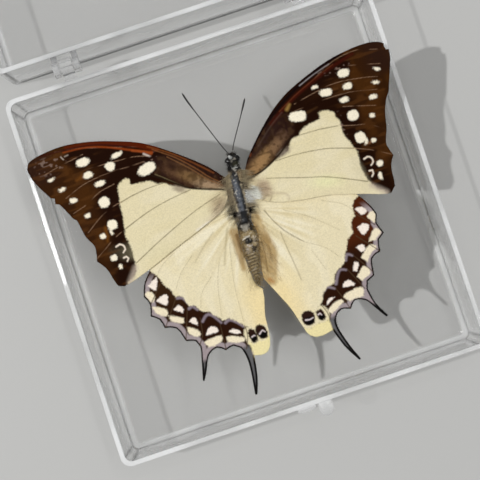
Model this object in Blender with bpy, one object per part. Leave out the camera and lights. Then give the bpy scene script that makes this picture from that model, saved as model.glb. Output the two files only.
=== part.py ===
"""Butterfly shadow box: a large white-and-brown butterfly, wings spread, standing on a clear
post inside a hinged clear plastic box whose lid lies folded back beside it.

World frame: the origin is at the centre of the underside of the base tray, +Y points from the
catch to the hinge, +Z is up. Sizes below are in millimetres and are scaled to metres as each
mesh is made.
"""
import math

import bmesh
import bpy
from mathutils import Matrix, Vector
from mathutils.geometry import delaunay_2d_cdt

MM = 0.001

# Case: two equal trays joined at the back
CASE_SIDE = 102.0
TRAY_HEIGHT = 22.0
WALL = 1.1
WALL_DRAFT = 0.25          # a wall is this much thicker at the floor than at the rim
FLOOR = 1.5
CORNER_RADIUS = 2.8
OUTER_FILLET = 0.8
INNER_FILLET = 1.2
RIM_ROUND = 0.2
RIM_GAP = 0.3              # between the two rims when the lid is shut

# Hinge: a lug with a cross pin on the base, two drilled ears on the lid
HINGE_REACH = 3.6          # from a back wall to the hinge axis
HINGE_X = 32.0
LUG_WIDTH = 3.4
EAR_WIDTH = 1.6
KNUCKLE_RADIUS = 2.3
NECK_DROP = 0.4            # top of a lug's neck below the rim
NECK_BEND = 2.1            # from the axis to where the neck starts to rise
KNUCKLE_SHOULDER = (1.2, 1.9)
PIN_RADIUS = 1.0
FIT = 0.3
HINGE_SIDES = 20

# Catch: two thumb knobs that lie side by side when the lid is shut
KNOB_WIDTH = 4.1
KNOB_LENGTH = 3.9
KNOB_THICKNESS = 2.4
KNOB_DROP = 0.2            # top of a knob below its rim
BASE_KNOB_X = 4.6
LID_KNOB_X = 0.0
LEDGE_X = -0.4
LEDGE_WIDTH = 5.2
LEDGE_LENGTH = 1.3
LEDGE_THICKNESS = 1.2

# Specimen
WING_THICKNESS = 0.36
FOREWING_Z = 32.6
HINDWING_Z = 31.55
TIP_DROOP = 2.6
TAIL_DROOP = 0.8
BODY_Z = 31.8
POST_RADIUS = 1.2
POST_CHAMFER = 0.2
POST_SIDES = 24
THORAX_DEPTH = 2.32        # from BODY_Z down to the thorax's underside at the post
POST_X, POST_Y = 0.5, 7.0
ANTENNA_STEP = 2.6
ANTENNA_SIDES = 6
SHAFT_RADIUS = 0.15
CLUB_SWELL = 0.12
ANTENNA_TIP_RADIUS = 0.12
WING_EDGE_STEP = 1.5       # spacing of the points along a wing's margin
WING_GRID_STEP = 3.6       # spacing of the points inside it

AXIS_Y = CASE_SIDE / 2 + HINGE_REACH
AXIS_Z = TRAY_HEIGHT + RIM_GAP / 2
LID_Y = 2 * AXIS_Y         # centre of the lid, lying open


def clear_scene():
    for item in list(bpy.data.objects):
        bpy.data.objects.remove(item, do_unlink=True)


def material(name, color, roughness, transmission=0.0):
    mat = bpy.data.materials.new(name)
    mat.use_nodes = True
    shader = mat.node_tree.nodes["Principled BSDF"]
    shader.inputs["Base Color"].default_value = (*color, 1.0)
    shader.inputs["Roughness"].default_value = roughness
    shader.inputs["Transmission Weight"].default_value = transmission
    return mat


def add_object(name, bm, mat):
    """Turn a bmesh in millimetres into a named object in metres."""
    bmesh.ops.scale(bm, vec=(MM, MM, MM), verts=bm.verts)
    mesh = bpy.data.meshes.new(name)
    bm.to_mesh(mesh)
    bm.free()
    mesh.materials.append(mat)
    mesh.shade_smooth()
    mesh.set_sharp_from_angle(angle=math.radians(35))
    obj = bpy.data.objects.new(name, mesh)
    bpy.context.collection.objects.link(obj)
    return obj


def combine(target, tool, operation):
    """Join a helper shape to an object, or cut it away; the helper stays as a hidden guide."""
    mod = target.modifiers.new(tool.name, "BOOLEAN")
    mod.operation = operation
    mod.solver = "EXACT"
    mod.object = tool
    tool.parent = target.parent
    tool.hide_render = True
    tool.display_type = "WIRE"


def rounded_square(half, radius, z, arc_steps=5):
    """Points around a square with round corners, counterclockwise from above."""
    points = []
    for quarter in range(4):
        turn = quarter * math.pi / 2
        cx = half - radius
        for step in range(arc_steps + 1):
            angle = step / arc_steps * math.pi / 2
            x = cx + radius * math.cos(angle)
            y = cx + radius * math.sin(angle)
            points.append((x * math.cos(turn) - y * math.sin(turn),
                           x * math.sin(turn) + y * math.cos(turn), z))
    return points


def tray_profile():
    """Inset and height of each ring, from the underside round the rim to the floor inside."""
    rings = []
    for step in range(4):
        a = step / 3 * math.pi / 2
        rings.append((OUTER_FILLET * (1 - math.sin(a)), OUTER_FILLET * (1 - math.cos(a))))
    rings += [(0, TRAY_HEIGHT - RIM_ROUND), (RIM_ROUND, TRAY_HEIGHT),
              (WALL - RIM_ROUND, TRAY_HEIGHT), (WALL, TRAY_HEIGHT - RIM_ROUND)]
    foot = WALL + WALL_DRAFT
    for step in range(4):
        a = step / 3 * math.pi / 2
        rings.append((foot + INNER_FILLET * (1 - math.cos(a)),
                      FLOOR + INNER_FILLET * (1 - math.sin(a))))
    return rings


def loft(bm, loops):
    """Skin closed loops of equal length, in order, with faces pointing out."""
    rows = [[bm.verts.new(p) for p in loop] for loop in loops]
    for low, high in zip(rows, rows[1:]):
        for i in range(len(low)):
            j = (i + 1) % len(low)
            bm.faces.new((low[i], low[j], high[j], high[i]))
    bm.faces.new(reversed(rows[0]))
    bm.faces.new(rows[-1])
    bmesh.ops.recalc_face_normals(bm, faces=bm.faces)


def tray(name, mat):
    bm = bmesh.new()
    half = CASE_SIDE / 2
    loft(bm, [rounded_square(half - inset, CORNER_RADIUS - inset * 0.6, z)
              for inset, z in tray_profile()])
    return add_object(name, bm, mat)


def prism_x(outline, x0, x1):
    """Extrude a closed outline in the YZ plane from x0 to x1."""
    bm = bmesh.new()
    face = bm.faces.new([bm.verts.new((x0, y, z)) for y, z in outline])
    moved = bmesh.ops.extrude_face_region(bm, geom=[face])["geom"]
    bmesh.ops.translate(bm, vec=(x1 - x0, 0, 0),
                        verts=[v for v in moved if isinstance(v, bmesh.types.BMVert)])
    bmesh.ops.recalc_face_normals(bm, faces=bm.faces)
    return bm


def knuckle_outline(wall_y):
    """A round knuckle on the hinge axis with a neck that runs to the wall at wall_y."""
    side = 1 if wall_y > AXIS_Y else -1
    root = wall_y + side * WALL / 2
    points = []
    for step in range(HINGE_SIDES * 3 // 4 + 1):
        angle = step / HINGE_SIDES * 2 * math.pi
        points.append((AXIS_Y - side * KNUCKLE_RADIUS * math.sin(angle),
                       AXIS_Z + KNUCKLE_RADIUS * math.cos(angle)))
    neck = TRAY_HEIGHT - NECK_DROP
    points = [p for p in points if p[1] < neck or side * (p[0] - AXIS_Y) <= 0.01]
    points += [(root, AXIS_Z - KNUCKLE_RADIUS), (root, neck), (AXIS_Y + side * NECK_BEND, neck),
               (AXIS_Y + side * KNUCKLE_SHOULDER[0], AXIS_Z + KNUCKLE_SHOULDER[1])]
    return points


def hinge_lug(name, x, mat):
    outline = knuckle_outline(CASE_SIDE / 2)
    return add_object(name, prism_x(outline, x - LUG_WIDTH / 2, x + LUG_WIDTH / 2), mat)


def axis_cylinder(name, x, length, radius, mat):
    bm = bmesh.new()
    bmesh.ops.create_cone(bm, cap_ends=True, segments=HINGE_SIDES, radius1=radius,
                          radius2=radius, depth=length)
    for v in bm.verts:
        v.co = Vector((x + v.co.z, AXIS_Y + v.co.x, AXIS_Z + v.co.y))
    bmesh.ops.recalc_face_normals(bm, faces=bm.faces)
    return add_object(name, bm, mat)


def thumb_knob(name, x, wall_y, length, width, thickness, mat):
    """A flat tab with a round end that stands out of a wall just below its rim."""
    side = 1 if wall_y > 0 else -1
    top = TRAY_HEIGHT - KNOB_DROP
    round_radius = min(width / 2, length - 0.5)
    end = length - round_radius
    outline = [(-width / 2, -WALL / 2)]
    for step in range(9):
        angle = math.pi - step / 8 * math.pi
        outline.append((width / 2 * math.cos(angle), end + round_radius * math.sin(angle)))
    outline.append((width / 2, -WALL / 2))
    bm = bmesh.new()
    face = bm.faces.new([bm.verts.new((x + px, wall_y + side * py, top - thickness))
                         for px, py in outline])
    moved = bmesh.ops.extrude_face_region(bm, geom=[face])["geom"]
    bmesh.ops.translate(bm, vec=(0, 0, thickness),
                        verts=[v for v in moved if isinstance(v, bmesh.types.BMVert)])
    bmesh.ops.recalc_face_normals(bm, faces=bm.faces)
    rims = [e for e in bm.edges if abs(e.verts[0].co.z - e.verts[1].co.z) < 1e-6]
    bmesh.ops.bevel(bm, geom=rims, offset=thickness * 0.2, segments=1, affect="EDGES")
    return add_object(name, bm, mat)


def base_tray(mat):
    base = tray("base_tray", mat)
    for side, x in (("left", -HINGE_X), ("right", HINGE_X)):
        combine(base, hinge_lug(f"guide_lug_{side}", x, mat), "UNION")
        pin_length = LUG_WIDTH + 2 * (FIT + EAR_WIDTH)
        combine(base, axis_cylinder(f"guide_pin_{side}", x, pin_length, PIN_RADIUS, mat), "UNION")
    front = -CASE_SIDE / 2
    combine(base, thumb_knob("guide_knob", BASE_KNOB_X, front, KNOB_LENGTH, KNOB_WIDTH,
                             KNOB_THICKNESS, mat), "UNION")
    combine(base, thumb_knob("guide_ledge", LEDGE_X, front, LEDGE_LENGTH, LEDGE_WIDTH,
                             LEDGE_THICKNESS, mat), "UNION")


def lid(mat):
    """The lid is modelled where it lies open; its origin is on the hinge axis."""
    hinge = bpy.data.objects.new("hinge_axis", None)
    hinge.location = Vector((0, AXIS_Y, AXIS_Z)) * MM
    bpy.context.collection.objects.link(hinge)
    cover = tray("lid", mat)
    cover.data.transform(shift_by((0, LID_Y - AXIS_Y, -AXIS_Z)))
    cover.parent = hinge
    pieces = []
    for side, x in (("left", -HINGE_X), ("right", HINGE_X)):
        inner = LUG_WIDTH / 2 + FIT
        for end, sign in (("a", -1), ("b", 1)):
            x0, x1 = sorted((x + sign * inner, x + sign * (inner + EAR_WIDTH)))
            outline = knuckle_outline(LID_Y - CASE_SIDE / 2)
            ear = add_object(f"guide_ear_{side}_{end}", prism_x(outline, x0, x1), mat)
            pieces.append((ear, "UNION"))
    far = LID_Y + CASE_SIDE / 2
    pieces.append((thumb_knob("guide_lid_knob", LID_KNOB_X, far, KNOB_LENGTH, KNOB_WIDTH,
                              KNOB_THICKNESS, mat), "UNION"))
    for side, x in (("left", -HINGE_X), ("right", HINGE_X)):
        hole = axis_cylinder(f"guide_hole_{side}", x, LUG_WIDTH + 4 * EAR_WIDTH,
                             PIN_RADIUS + FIT, mat)
        pieces.append((hole, "DIFFERENCE"))
    for tool, operation in pieces:
        tool.data.transform(shift_by((0, -AXIS_Y, -AXIS_Z)))
        combine(cover, tool, operation)


def shift_by(offset):
    return Matrix.Translation(Vector(offset) * MM)


# Body: stations from the face to the tip of the abdomen, as
# (y, centre x, centre z above BODY_Z, half width, half height)
BODY_STATIONS = [
    (18.4, 1.9, -0.2, 0.35, 0.30),
    (17.6, 1.8, 0.0, 1.05, 0.90),
    (16.6, 1.7, 0.2, 1.65, 1.35),
    (15.7, 1.6, 0.2, 1.55, 1.35),
    (15.0, 1.4, 0.1, 1.15, 1.10),
    (14.0, 1.3, 0.1, 1.65, 1.70),
    (12.0, 1.0, 0.2, 2.10, 2.30),
    (9.0, 0.6, 0.2, 2.30, 2.50),
    (6.0, 0.3, 0.1, 2.30, 2.45),
    (3.0, -0.1, 0.0, 2.05, 2.10),
    (1.0, -0.4, -0.2, 1.45, 1.45),
    (-1.0, -0.6, -0.1, 1.65, 1.55),
    (-4.0, -0.7, 0.0, 1.90, 1.75),
    (-7.0, -1.0, 0.0, 1.65, 1.55),
    (-10.0, -1.4, -0.1, 1.30, 1.30),
    (-13.0, -1.8, -0.3, 0.95, 1.00),
    (-15.0, -2.0, -0.4, 0.60, 0.65),
    (-16.2, -2.1, -0.5, 0.25, 0.30),
]
BODY_SIDES = 14
EYE_RADIUS = 0.85
LEG_RADIUS = 0.28


def body_at(y):
    """Centre x and half width of the body at a place along it, between its stations."""
    for front, back in zip(BODY_STATIONS, BODY_STATIONS[1:]):
        if back[0] <= y <= front[0]:
            t = (front[0] - y) / (front[0] - back[0])
            return (front[1] + (back[1] - front[1]) * t, front[3] + (back[3] - front[3]) * t)
    return (BODY_STATIONS[-1][1], 0.0)


def body(mat):
    bm = bmesh.new()
    loops = []
    for y, cx, cz, rx, rz in BODY_STATIONS:
        loops.append([(cx + rx * math.cos(2 * math.pi * i / BODY_SIDES), y,
                       BODY_Z + cz + rz * math.sin(2 * math.pi * i / BODY_SIDES))
                      for i in range(BODY_SIDES)])
    loft(bm, loops)
    torso = add_object("body", bm, mat)
    for side, sign in (("left", -1), ("right", 1)):
        eye = bmesh.new()
        bmesh.ops.create_icosphere(eye, subdivisions=2, radius=EYE_RADIUS)
        bmesh.ops.translate(eye, verts=eye.verts, vec=(1.65 + sign * 1.15, 16.4, BODY_Z + 0.35))
        combine(torso, add_object(f"guide_eye_{side}", eye, mat), "UNION")
        for pair, (y, reach) in enumerate(((10.5, 3.4), (5.5, 2.6))):
            leg = folded_leg(f"guide_leg_{side}_{pair}", sign, y, reach, mat)
            combine(torso, leg, "UNION")


def folded_leg(name, sign, y, reach, mat):
    """One leg folded under the thorax: out from the coxa, back at the knee and in again."""
    cx = body_at(y)[0]
    route = [(cx + sign * 1.0, y, BODY_Z - 1.6), (cx + sign * 2.3, y + 1.2, BODY_Z - 2.7),
             (cx + sign * 2.9, y + 0.2 * reach, BODY_Z - 3.6),
             (cx + sign * 2.6, y - reach, BODY_Z - 3.4),
             (cx + sign * 2.2, y - reach - 2.2, BODY_Z - 3.0)]
    return tube(name, route, [LEG_RADIUS] * 4 + [LEG_RADIUS * 0.6], 6, mat)


def tube(name, route, radii, sides, mat):
    """A tube with closed ends along a route of points, with its own radius at each point."""
    bm = bmesh.new()
    points = [Vector(p) for p in route]
    loops = []
    for i, point in enumerate(points):
        ahead = (points[min(i + 1, len(points) - 1)] - points[max(i - 1, 0)]).normalized()
        across = ahead.cross(Vector((0, 0, 1)))
        if across.length < 0.05:
            across = Vector((1, 0, 0))
        across.normalize()
        up = across.cross(ahead)
        loops.append([point + radii[i] * (across * math.cos(2 * math.pi * s / sides)
                                          + up * math.sin(2 * math.pi * s / sides))
                      for s in range(sides)])
    loft(bm, loops)
    return add_object(name, bm, mat)


def antenna(name, route, mat):
    """A thin antenna that thickens a little into its club."""
    smooth = through(route, ANTENNA_STEP)
    count = len(smooth) - 1
    radii = [SHAFT_RADIUS + CLUB_SWELL * (i / count) ** 3 for i in range(count)]
    tube(name, smooth, radii + [ANTENNA_TIP_RADIUS], ANTENNA_SIDES, mat)


def support_post(mat):
    bottom = FLOOR + FIT
    top = BODY_Z - THORAX_DEPTH - FIT
    bm = bmesh.new()
    loops = []
    for inset, z in ((POST_CHAMFER, bottom), (0, bottom + POST_CHAMFER),
                     (0, top - POST_CHAMFER), (POST_CHAMFER, top)):
        radius = POST_RADIUS - inset
        turns = [2 * math.pi * i / POST_SIDES for i in range(POST_SIDES)]
        loops.append([(POST_X + radius * math.cos(a), POST_Y + radius * math.sin(a), z)
                      for a in turns])
    loft(bm, loops)
    add_object("support_post", bm, mat)


def through(points, spacing):
    """Points at about one spacing along a smooth curve through the given ones."""
    pts = [Vector(p) for p in points]
    curve = []
    for i in range(len(pts) - 1):
        before = pts[i - 1] if i else pts[i] * 2 - pts[i + 1]
        after = pts[i + 2] if i + 2 < len(pts) else pts[i + 1] * 2 - pts[i]
        steps = max(1, round((pts[i + 1] - pts[i]).length / spacing))
        for step in range(steps):
            t = step / steps
            curve.append(0.5 * ((2 * pts[i]) + (pts[i + 1] - before) * t
                         + (2 * before - 5 * pts[i] + 4 * pts[i + 1] - after) * t * t
                         + (3 * pts[i] - before - 3 * pts[i + 1] + after) * t ** 3))
    curve.append(pts[-1])
    return curve


# Wing outlines, each a chain of smooth stretches that meet at corners. A stretch starts where
# the one before it ends. The forewings run from the shoulder along the leading edge to the tip,
# down the toothed outer margin to the hind corner and back along the hind margin.
LEFT_FOREWING = [
    [(-1.6, 12.6), (-5.4, 17.1), (-12.0, 22.8), (-18.7, 27.5), (-25.3, 30.3), (-32.0, 32.4),
     (-38.7, 33.5), (-45.3, 33.2), (-48.6, 32.2), (-49.3, 30.8), (-48.5, 27.0), (-45.8, 21.9)],
    [(-45.8, 21.9), (-44.8, 21.4), (-45.1, 20.0)],
    [(-45.1, 20.0), (-44.1, 19.6), (-41.8, 14.9)],
    [(-41.8, 14.9), (-41.1, 14.3), (-40.3, 9.7), (-38.8, 6.2), (-39.5, 2.6)],
    [(-39.5, 2.6), (-37.7, 0.0), (-36.3, -5.0), (-34.8, -5.65), (-32.8, -5.3), (-27.3, -3.6),
     (-19.0, -0.5), (-11.0, 2.3), (-5.0, 4.8), (-2.6, 7.4)],
    [(-2.6, 7.4), (-2.1, 9.9), (-1.6, 12.6)],
]
RIGHT_FOREWING = [
    [(3.6, 12.0), (5.2, 15.0), (10.0, 20.2), (15.0, 24.7), (20.0, 28.0), (26.7, 30.8),
     (33.3, 32.9), (40.0, 34.0), (44.8, 34.1), (47.6, 33.4), (48.5, 32.8)],
    [(48.5, 32.8), (48.3, 32.0), (48.6, 31.1)],
    [(48.6, 31.1), (49.3, 30.9)],
    [(49.3, 30.9), (48.9, 28.6), (46.9, 23.6), (45.6, 20.4)],
    [(45.6, 20.4), (44.7, 19.3), (43.1, 16.0), (41.9, 11.3), (40.6, 7.8), (41.4, 4.4)],
    [(41.4, 4.4), (39.9, 1.8), (39.2, -3.2), (37.8, -4.6), (35.3, -4.2), (29.6, -2.3),
     (22.0, -0.1), (15.0, 0.9), (8.5, 2.6), (4.0, 5.2), (3.0, 7.4)],
    [(3.0, 7.4), (3.3, 9.6), (3.6, 12.0)],
]
# The hindwings run from the shoulder along the hidden leading edge, down the scalloped margin
# with its two tails and the rounded lobe, and back up beside the abdomen.
LEFT_HINDWING = [
    [(-2.7, 6.8), (-8.0, 5.4), (-14.0, 3.6), (-20.0, 1.2), (-25.0, -1.7), (-27.5, -4.0),
     (-29.8, -6.7), (-31.0, -9.8)],
    [(-31.0, -9.8), (-30.1, -12.0), (-30.9, -15.1)],
    [(-30.9, -15.1), (-29.0, -16.6), (-28.4, -19.0)],
    [(-28.4, -19.0), (-25.6, -20.1), (-24.3, -23.9)],
    [(-24.3, -23.9), (-22.0, -24.7), (-21.3, -26.4), (-22.2, -30.3), (-23.4, -34.8)],
    [(-23.4, -34.8), (-23.1, -35.1), (-21.5, -32.3), (-20.0, -29.3), (-17.4, -28.0),
     (-15.4, -29.4)],
    [(-15.4, -29.4), (-13.2, -28.9), (-11.6, -30.0), (-10.9, -33.3), (-11.1, -37.0),
     (-11.9, -42.5)],
    [(-11.9, -42.5), (-11.4, -42.7), (-9.9, -38.4), (-8.9, -32.9)],
    [(-8.9, -32.9), (-6.4, -33.4), (-4.4, -32.0), (-3.4, -28.0), (-3.1, -24.4), (-1.8, -19.6),
     (-1.5, -17.4)],
    [(-1.5, -17.4), (-2.8, -16.0), (-3.1, -13.0), (-3.3, -8.0), (-3.1, -4.0), (-2.6, 0.0),
     (-2.7, 3.4), (-2.7, 6.8)],
]
RIGHT_HINDWING = [
    [(3.1, 6.8), (8.0, 4.6), (15.0, 3.0), (22.0, 1.6), (27.0, -0.4), (29.4, -2.6),
     (31.6, -6.2), (32.4, -8.6)],
    [(32.4, -8.6), (31.6, -10.6), (32.6, -13.7)],
    [(32.6, -13.7), (30.8, -15.0), (30.2, -18.0)],
    [(30.2, -18.0), (27.6, -19.1), (26.75, -23.3)],
    [(26.75, -23.3), (24.7, -24.2), (24.1, -26.0), (24.8, -30.0), (26.8, -34.1)],
    [(26.8, -34.1), (26.4, -34.4), (24.2, -31.0), (22.6, -28.7), (20.0, -27.8), (18.3, -29.6)],
    [(18.3, -29.6), (16.0, -28.9), (14.1, -30.3), (13.7, -33.0), (15.0, -38.0), (16.7, -42.4)],
    [(16.7, -42.4), (16.3, -42.7), (13.8, -38.2), (12.1, -33.2)],
    [(12.1, -33.2), (8.9, -33.7), (6.2, -32.6), (4.9, -28.8), (3.7, -24.4), (1.6, -19.5),
     (-0.3, -15.3)],
    [(-0.3, -15.3), (-0.2, -13.0), (0.6, -9.0), (1.4, -6.0), (1.7, -3.0), (1.4, 0.0),
     (2.4, 3.4), (3.1, 6.8)],
]


def forewing_height(x, y):
    """The forewing lies flat near the body and bends down towards its tip."""
    out = max(0.0, (abs(x) - 20.0) / 29.0)
    return FOREWING_Z - TIP_DROOP * out ** 2


def hindwing_height(x, y):
    """The hindwing lies just under the forewing and bends down towards its tails."""
    back = max(0.0, (-y - 18.0) / 24.0)
    return HINDWING_Z - TAIL_DROOP * back ** 2


def wing(name, stretches, height, mat):
    """A thin curved plate with the outline of a wing."""
    edge = []
    for stretch in stretches:
        edge += [Vector((p.x, p.y)) for p in through(stretch, WING_EDGE_STEP)[:-1]]
    inner = grid_inside(edge)
    links = [(i, (i + 1) % len(edge)) for i in range(len(edge))]
    points, _, faces, *_ = delaunay_2d_cdt(edge + inner, links, [], 1, 1e-5)
    bm = bmesh.new()
    half = WING_THICKNESS / 2
    top = [bm.verts.new((p.x, p.y, height(p.x, p.y) + half)) for p in points]
    low = [bm.verts.new((p.x, p.y, height(p.x, p.y) - half)) for p in points]
    for face in faces:
        bm.faces.new([top[i] for i in face])
        bm.faces.new([low[i] for i in reversed(face)])
    open_edges = [e for e in bm.edges if e.is_boundary and e.verts[0] in set(top)]
    partner = dict(zip(top, low))
    for e in open_edges:
        a, b = e.verts
        bm.faces.new((a, b, partner[b], partner[a]))
    bmesh.ops.recalc_face_normals(bm, faces=bm.faces)
    return add_object(name, bm, mat)


def grid_inside(edge):
    """A staggered grid of points inside an outline, kept clear of its margin."""
    xs = [p.x for p in edge]
    ys = [p.y for p in edge]
    points = []
    row_height = WING_GRID_STEP * math.sqrt(3) / 2
    for row in range(int((max(ys) - min(ys)) / row_height) + 1):
        y = min(ys) + row * row_height
        x = min(xs) + (row % 2) * WING_GRID_STEP / 2
        while x < max(xs):
            p = Vector((x, y))
            clear = all((p - q).length > WING_GRID_STEP * 0.45 for q in edge)
            if clear and is_inside(p, edge):
                points.append(p)
            x += WING_GRID_STEP
    return points


def is_inside(p, edge):
    inside = False
    for a, b in zip(edge, edge[1:] + edge[:1]):
        if (a.y > p.y) != (b.y > p.y) and p.x < a.x + (p.y - a.y) / (b.y - a.y) * (b.x - a.x):
            inside = not inside
    return inside


def main():
    clear_scene()
    clear_plastic = material("clear_polystyrene", (0.93, 0.95, 0.95), 0.06, 1.0)
    clear_rod = material("clear_acrylic_rod", (0.95, 0.96, 0.96), 0.04, 1.0)
    brown = material("brown_wing_scales", (0.045, 0.015, 0.006), 0.75)
    cream = material("cream_wing_scales", (0.80, 0.73, 0.52), 0.8)
    fur = material("dark_body_fur", (0.06, 0.045, 0.03), 0.85)
    horn = material("black_antenna_horn", (0.012, 0.010, 0.009), 0.4)

    base_tray(clear_plastic)
    lid(clear_plastic)
    support_post(clear_rod)
    body(fur)
    wing("left_forewing", LEFT_FOREWING, forewing_height, brown)
    wing("right_forewing", RIGHT_FOREWING, forewing_height, brown)
    wing("left_hindwing", LEFT_HINDWING, hindwing_height, cream)
    wing("right_hindwing", RIGHT_HINDWING, hindwing_height, cream)
    antenna("left_antenna", [(0.95, 18.55, 33.0), (0.0, 20.8, 33.6), (-2.2, 27.0, 34.6),
                             (-4.3, 33.0, 35.4), (-5.2, 36.2, 35.8)], horn)
    antenna("right_antenna", [(2.5, 18.6, 33.0), (3.6, 20.6, 33.4), (6.6, 25.2, 34.2),
                              (9.6, 30.0, 34.9)], horn)


main()
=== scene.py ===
import math
import bmesh
import bpy
import numpy as np
from mathutils import Euler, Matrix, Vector
from mathutils.geometry import delaunay_2d_cdt


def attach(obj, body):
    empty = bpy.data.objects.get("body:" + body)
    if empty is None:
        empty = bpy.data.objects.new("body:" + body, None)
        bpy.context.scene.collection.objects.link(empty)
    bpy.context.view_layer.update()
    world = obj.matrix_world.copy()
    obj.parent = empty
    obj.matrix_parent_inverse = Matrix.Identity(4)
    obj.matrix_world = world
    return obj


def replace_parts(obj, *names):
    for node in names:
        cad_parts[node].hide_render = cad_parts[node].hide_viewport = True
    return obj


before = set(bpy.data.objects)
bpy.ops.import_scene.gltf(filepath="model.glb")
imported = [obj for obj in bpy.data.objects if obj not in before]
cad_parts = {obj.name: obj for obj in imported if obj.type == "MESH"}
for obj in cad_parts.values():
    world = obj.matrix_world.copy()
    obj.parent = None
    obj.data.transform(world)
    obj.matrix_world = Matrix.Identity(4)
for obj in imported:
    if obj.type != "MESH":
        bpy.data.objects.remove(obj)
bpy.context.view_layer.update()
mm = 0.001


# ---- colours, node trees and meshes that every piece uses
def linear(hexText):
    values = [int(hexText[i:i + 2], 16) / 255 for i in (1, 3, 5)]
    return [v / 12.92 if v <= 0.04045 else ((v + 0.055) / 1.055) ** 2.4 for v in values] + [1.0]


def setSockets(tree, node, values, links):
    # a link comes from an output, or from a node's first output
    for socket, value in (values or {}).items():
        node.inputs[socket].default_value = value
    for socket, source in (links or {}).items():
        tree.links.new(getattr(source, "outputs", [source])[0], node.inputs[socket])


def addNode(tree, kind, values=None, links=None, **settings):
    node = tree.nodes.new(kind)
    for name, value in settings.items():
        setattr(node, name, value)
    setSockets(tree, node, values, links)
    return node


def newMaterial(name):
    material = bpy.data.materials.new(name)
    material.use_nodes = True
    tree = material.node_tree
    return material, tree, tree.nodes["Principled BSDF"]


def addObject(name, data):
    made = bpy.data.objects.new(name, data)
    bpy.context.scene.collection.objects.link(made)
    return made


def addPiece(name, mesh, material, body):
    piece = addObject(name, mesh)
    mesh.materials.clear()
    mesh.materials.append(material)
    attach(piece, body)
    return piece


def setAttribute(mesh, name, kind, domain, values):
    layer = mesh.attributes.new(name, kind, domain)
    field = {"FLOAT": "value", "FLOAT_VECTOR": "vector", "FLOAT_COLOR": "color"}[kind]
    layer.data.foreach_set(field, np.ascontiguousarray(values, dtype=np.float32).ravel())


def meshFrom(bm, name):
    mesh = bpy.data.meshes.new(name)
    bm.to_mesh(mesh)
    bm.free()
    return mesh


def mergedCopy(mesh, distance=1e-6):
    # a copy of loose triangles that share their corners
    bm = bmesh.new()
    bm.from_mesh(mesh)
    bmesh.ops.remove_doubles(bm, verts=bm.verts, dist=distance)
    return bm


def finished(host):
    # the mesh of an object once its modifiers have run
    bpy.context.view_layer.update()
    return bpy.data.meshes.new_from_object(host.evaluated_get(bpy.context.evaluated_depsgraph_get()))


# ---- clear plastic
# Crystal polystyrene, injection moulded and polished: glass-clear, IOR 1.59, with faint waves from
# the mould and fine handling scratches. Its rims, wall faces, tabs and knuckles get a whitish diffuse
# share: partly worn by handling, partly painted highlight and reflection. Lamps shine through it,
# weaker where they graze it and through the rims.
plastic = {"ior": 1.59, "tint": "#ffffff", "roughness": 0.03, "waveMm": 14.0, "scratchMm": 0.5,
           "rimKeeps": 0.66}
# of both clear plastics: how deep the waves are, the whitish colour of the worn edges and of the
# painted highlight and how patchy it lies, and the share of a lamp's light that each face passes,
# straight on and at a grazing angle
clearFinish = {"waveStrength": 0.05, "waveDepth": 0.0006, "rubbedAndHighlit": "#f4f5f5", "patchy": (0.45, 1.0),
               "passes": (0.955, 0.62), "grazing": 5.0}


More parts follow.
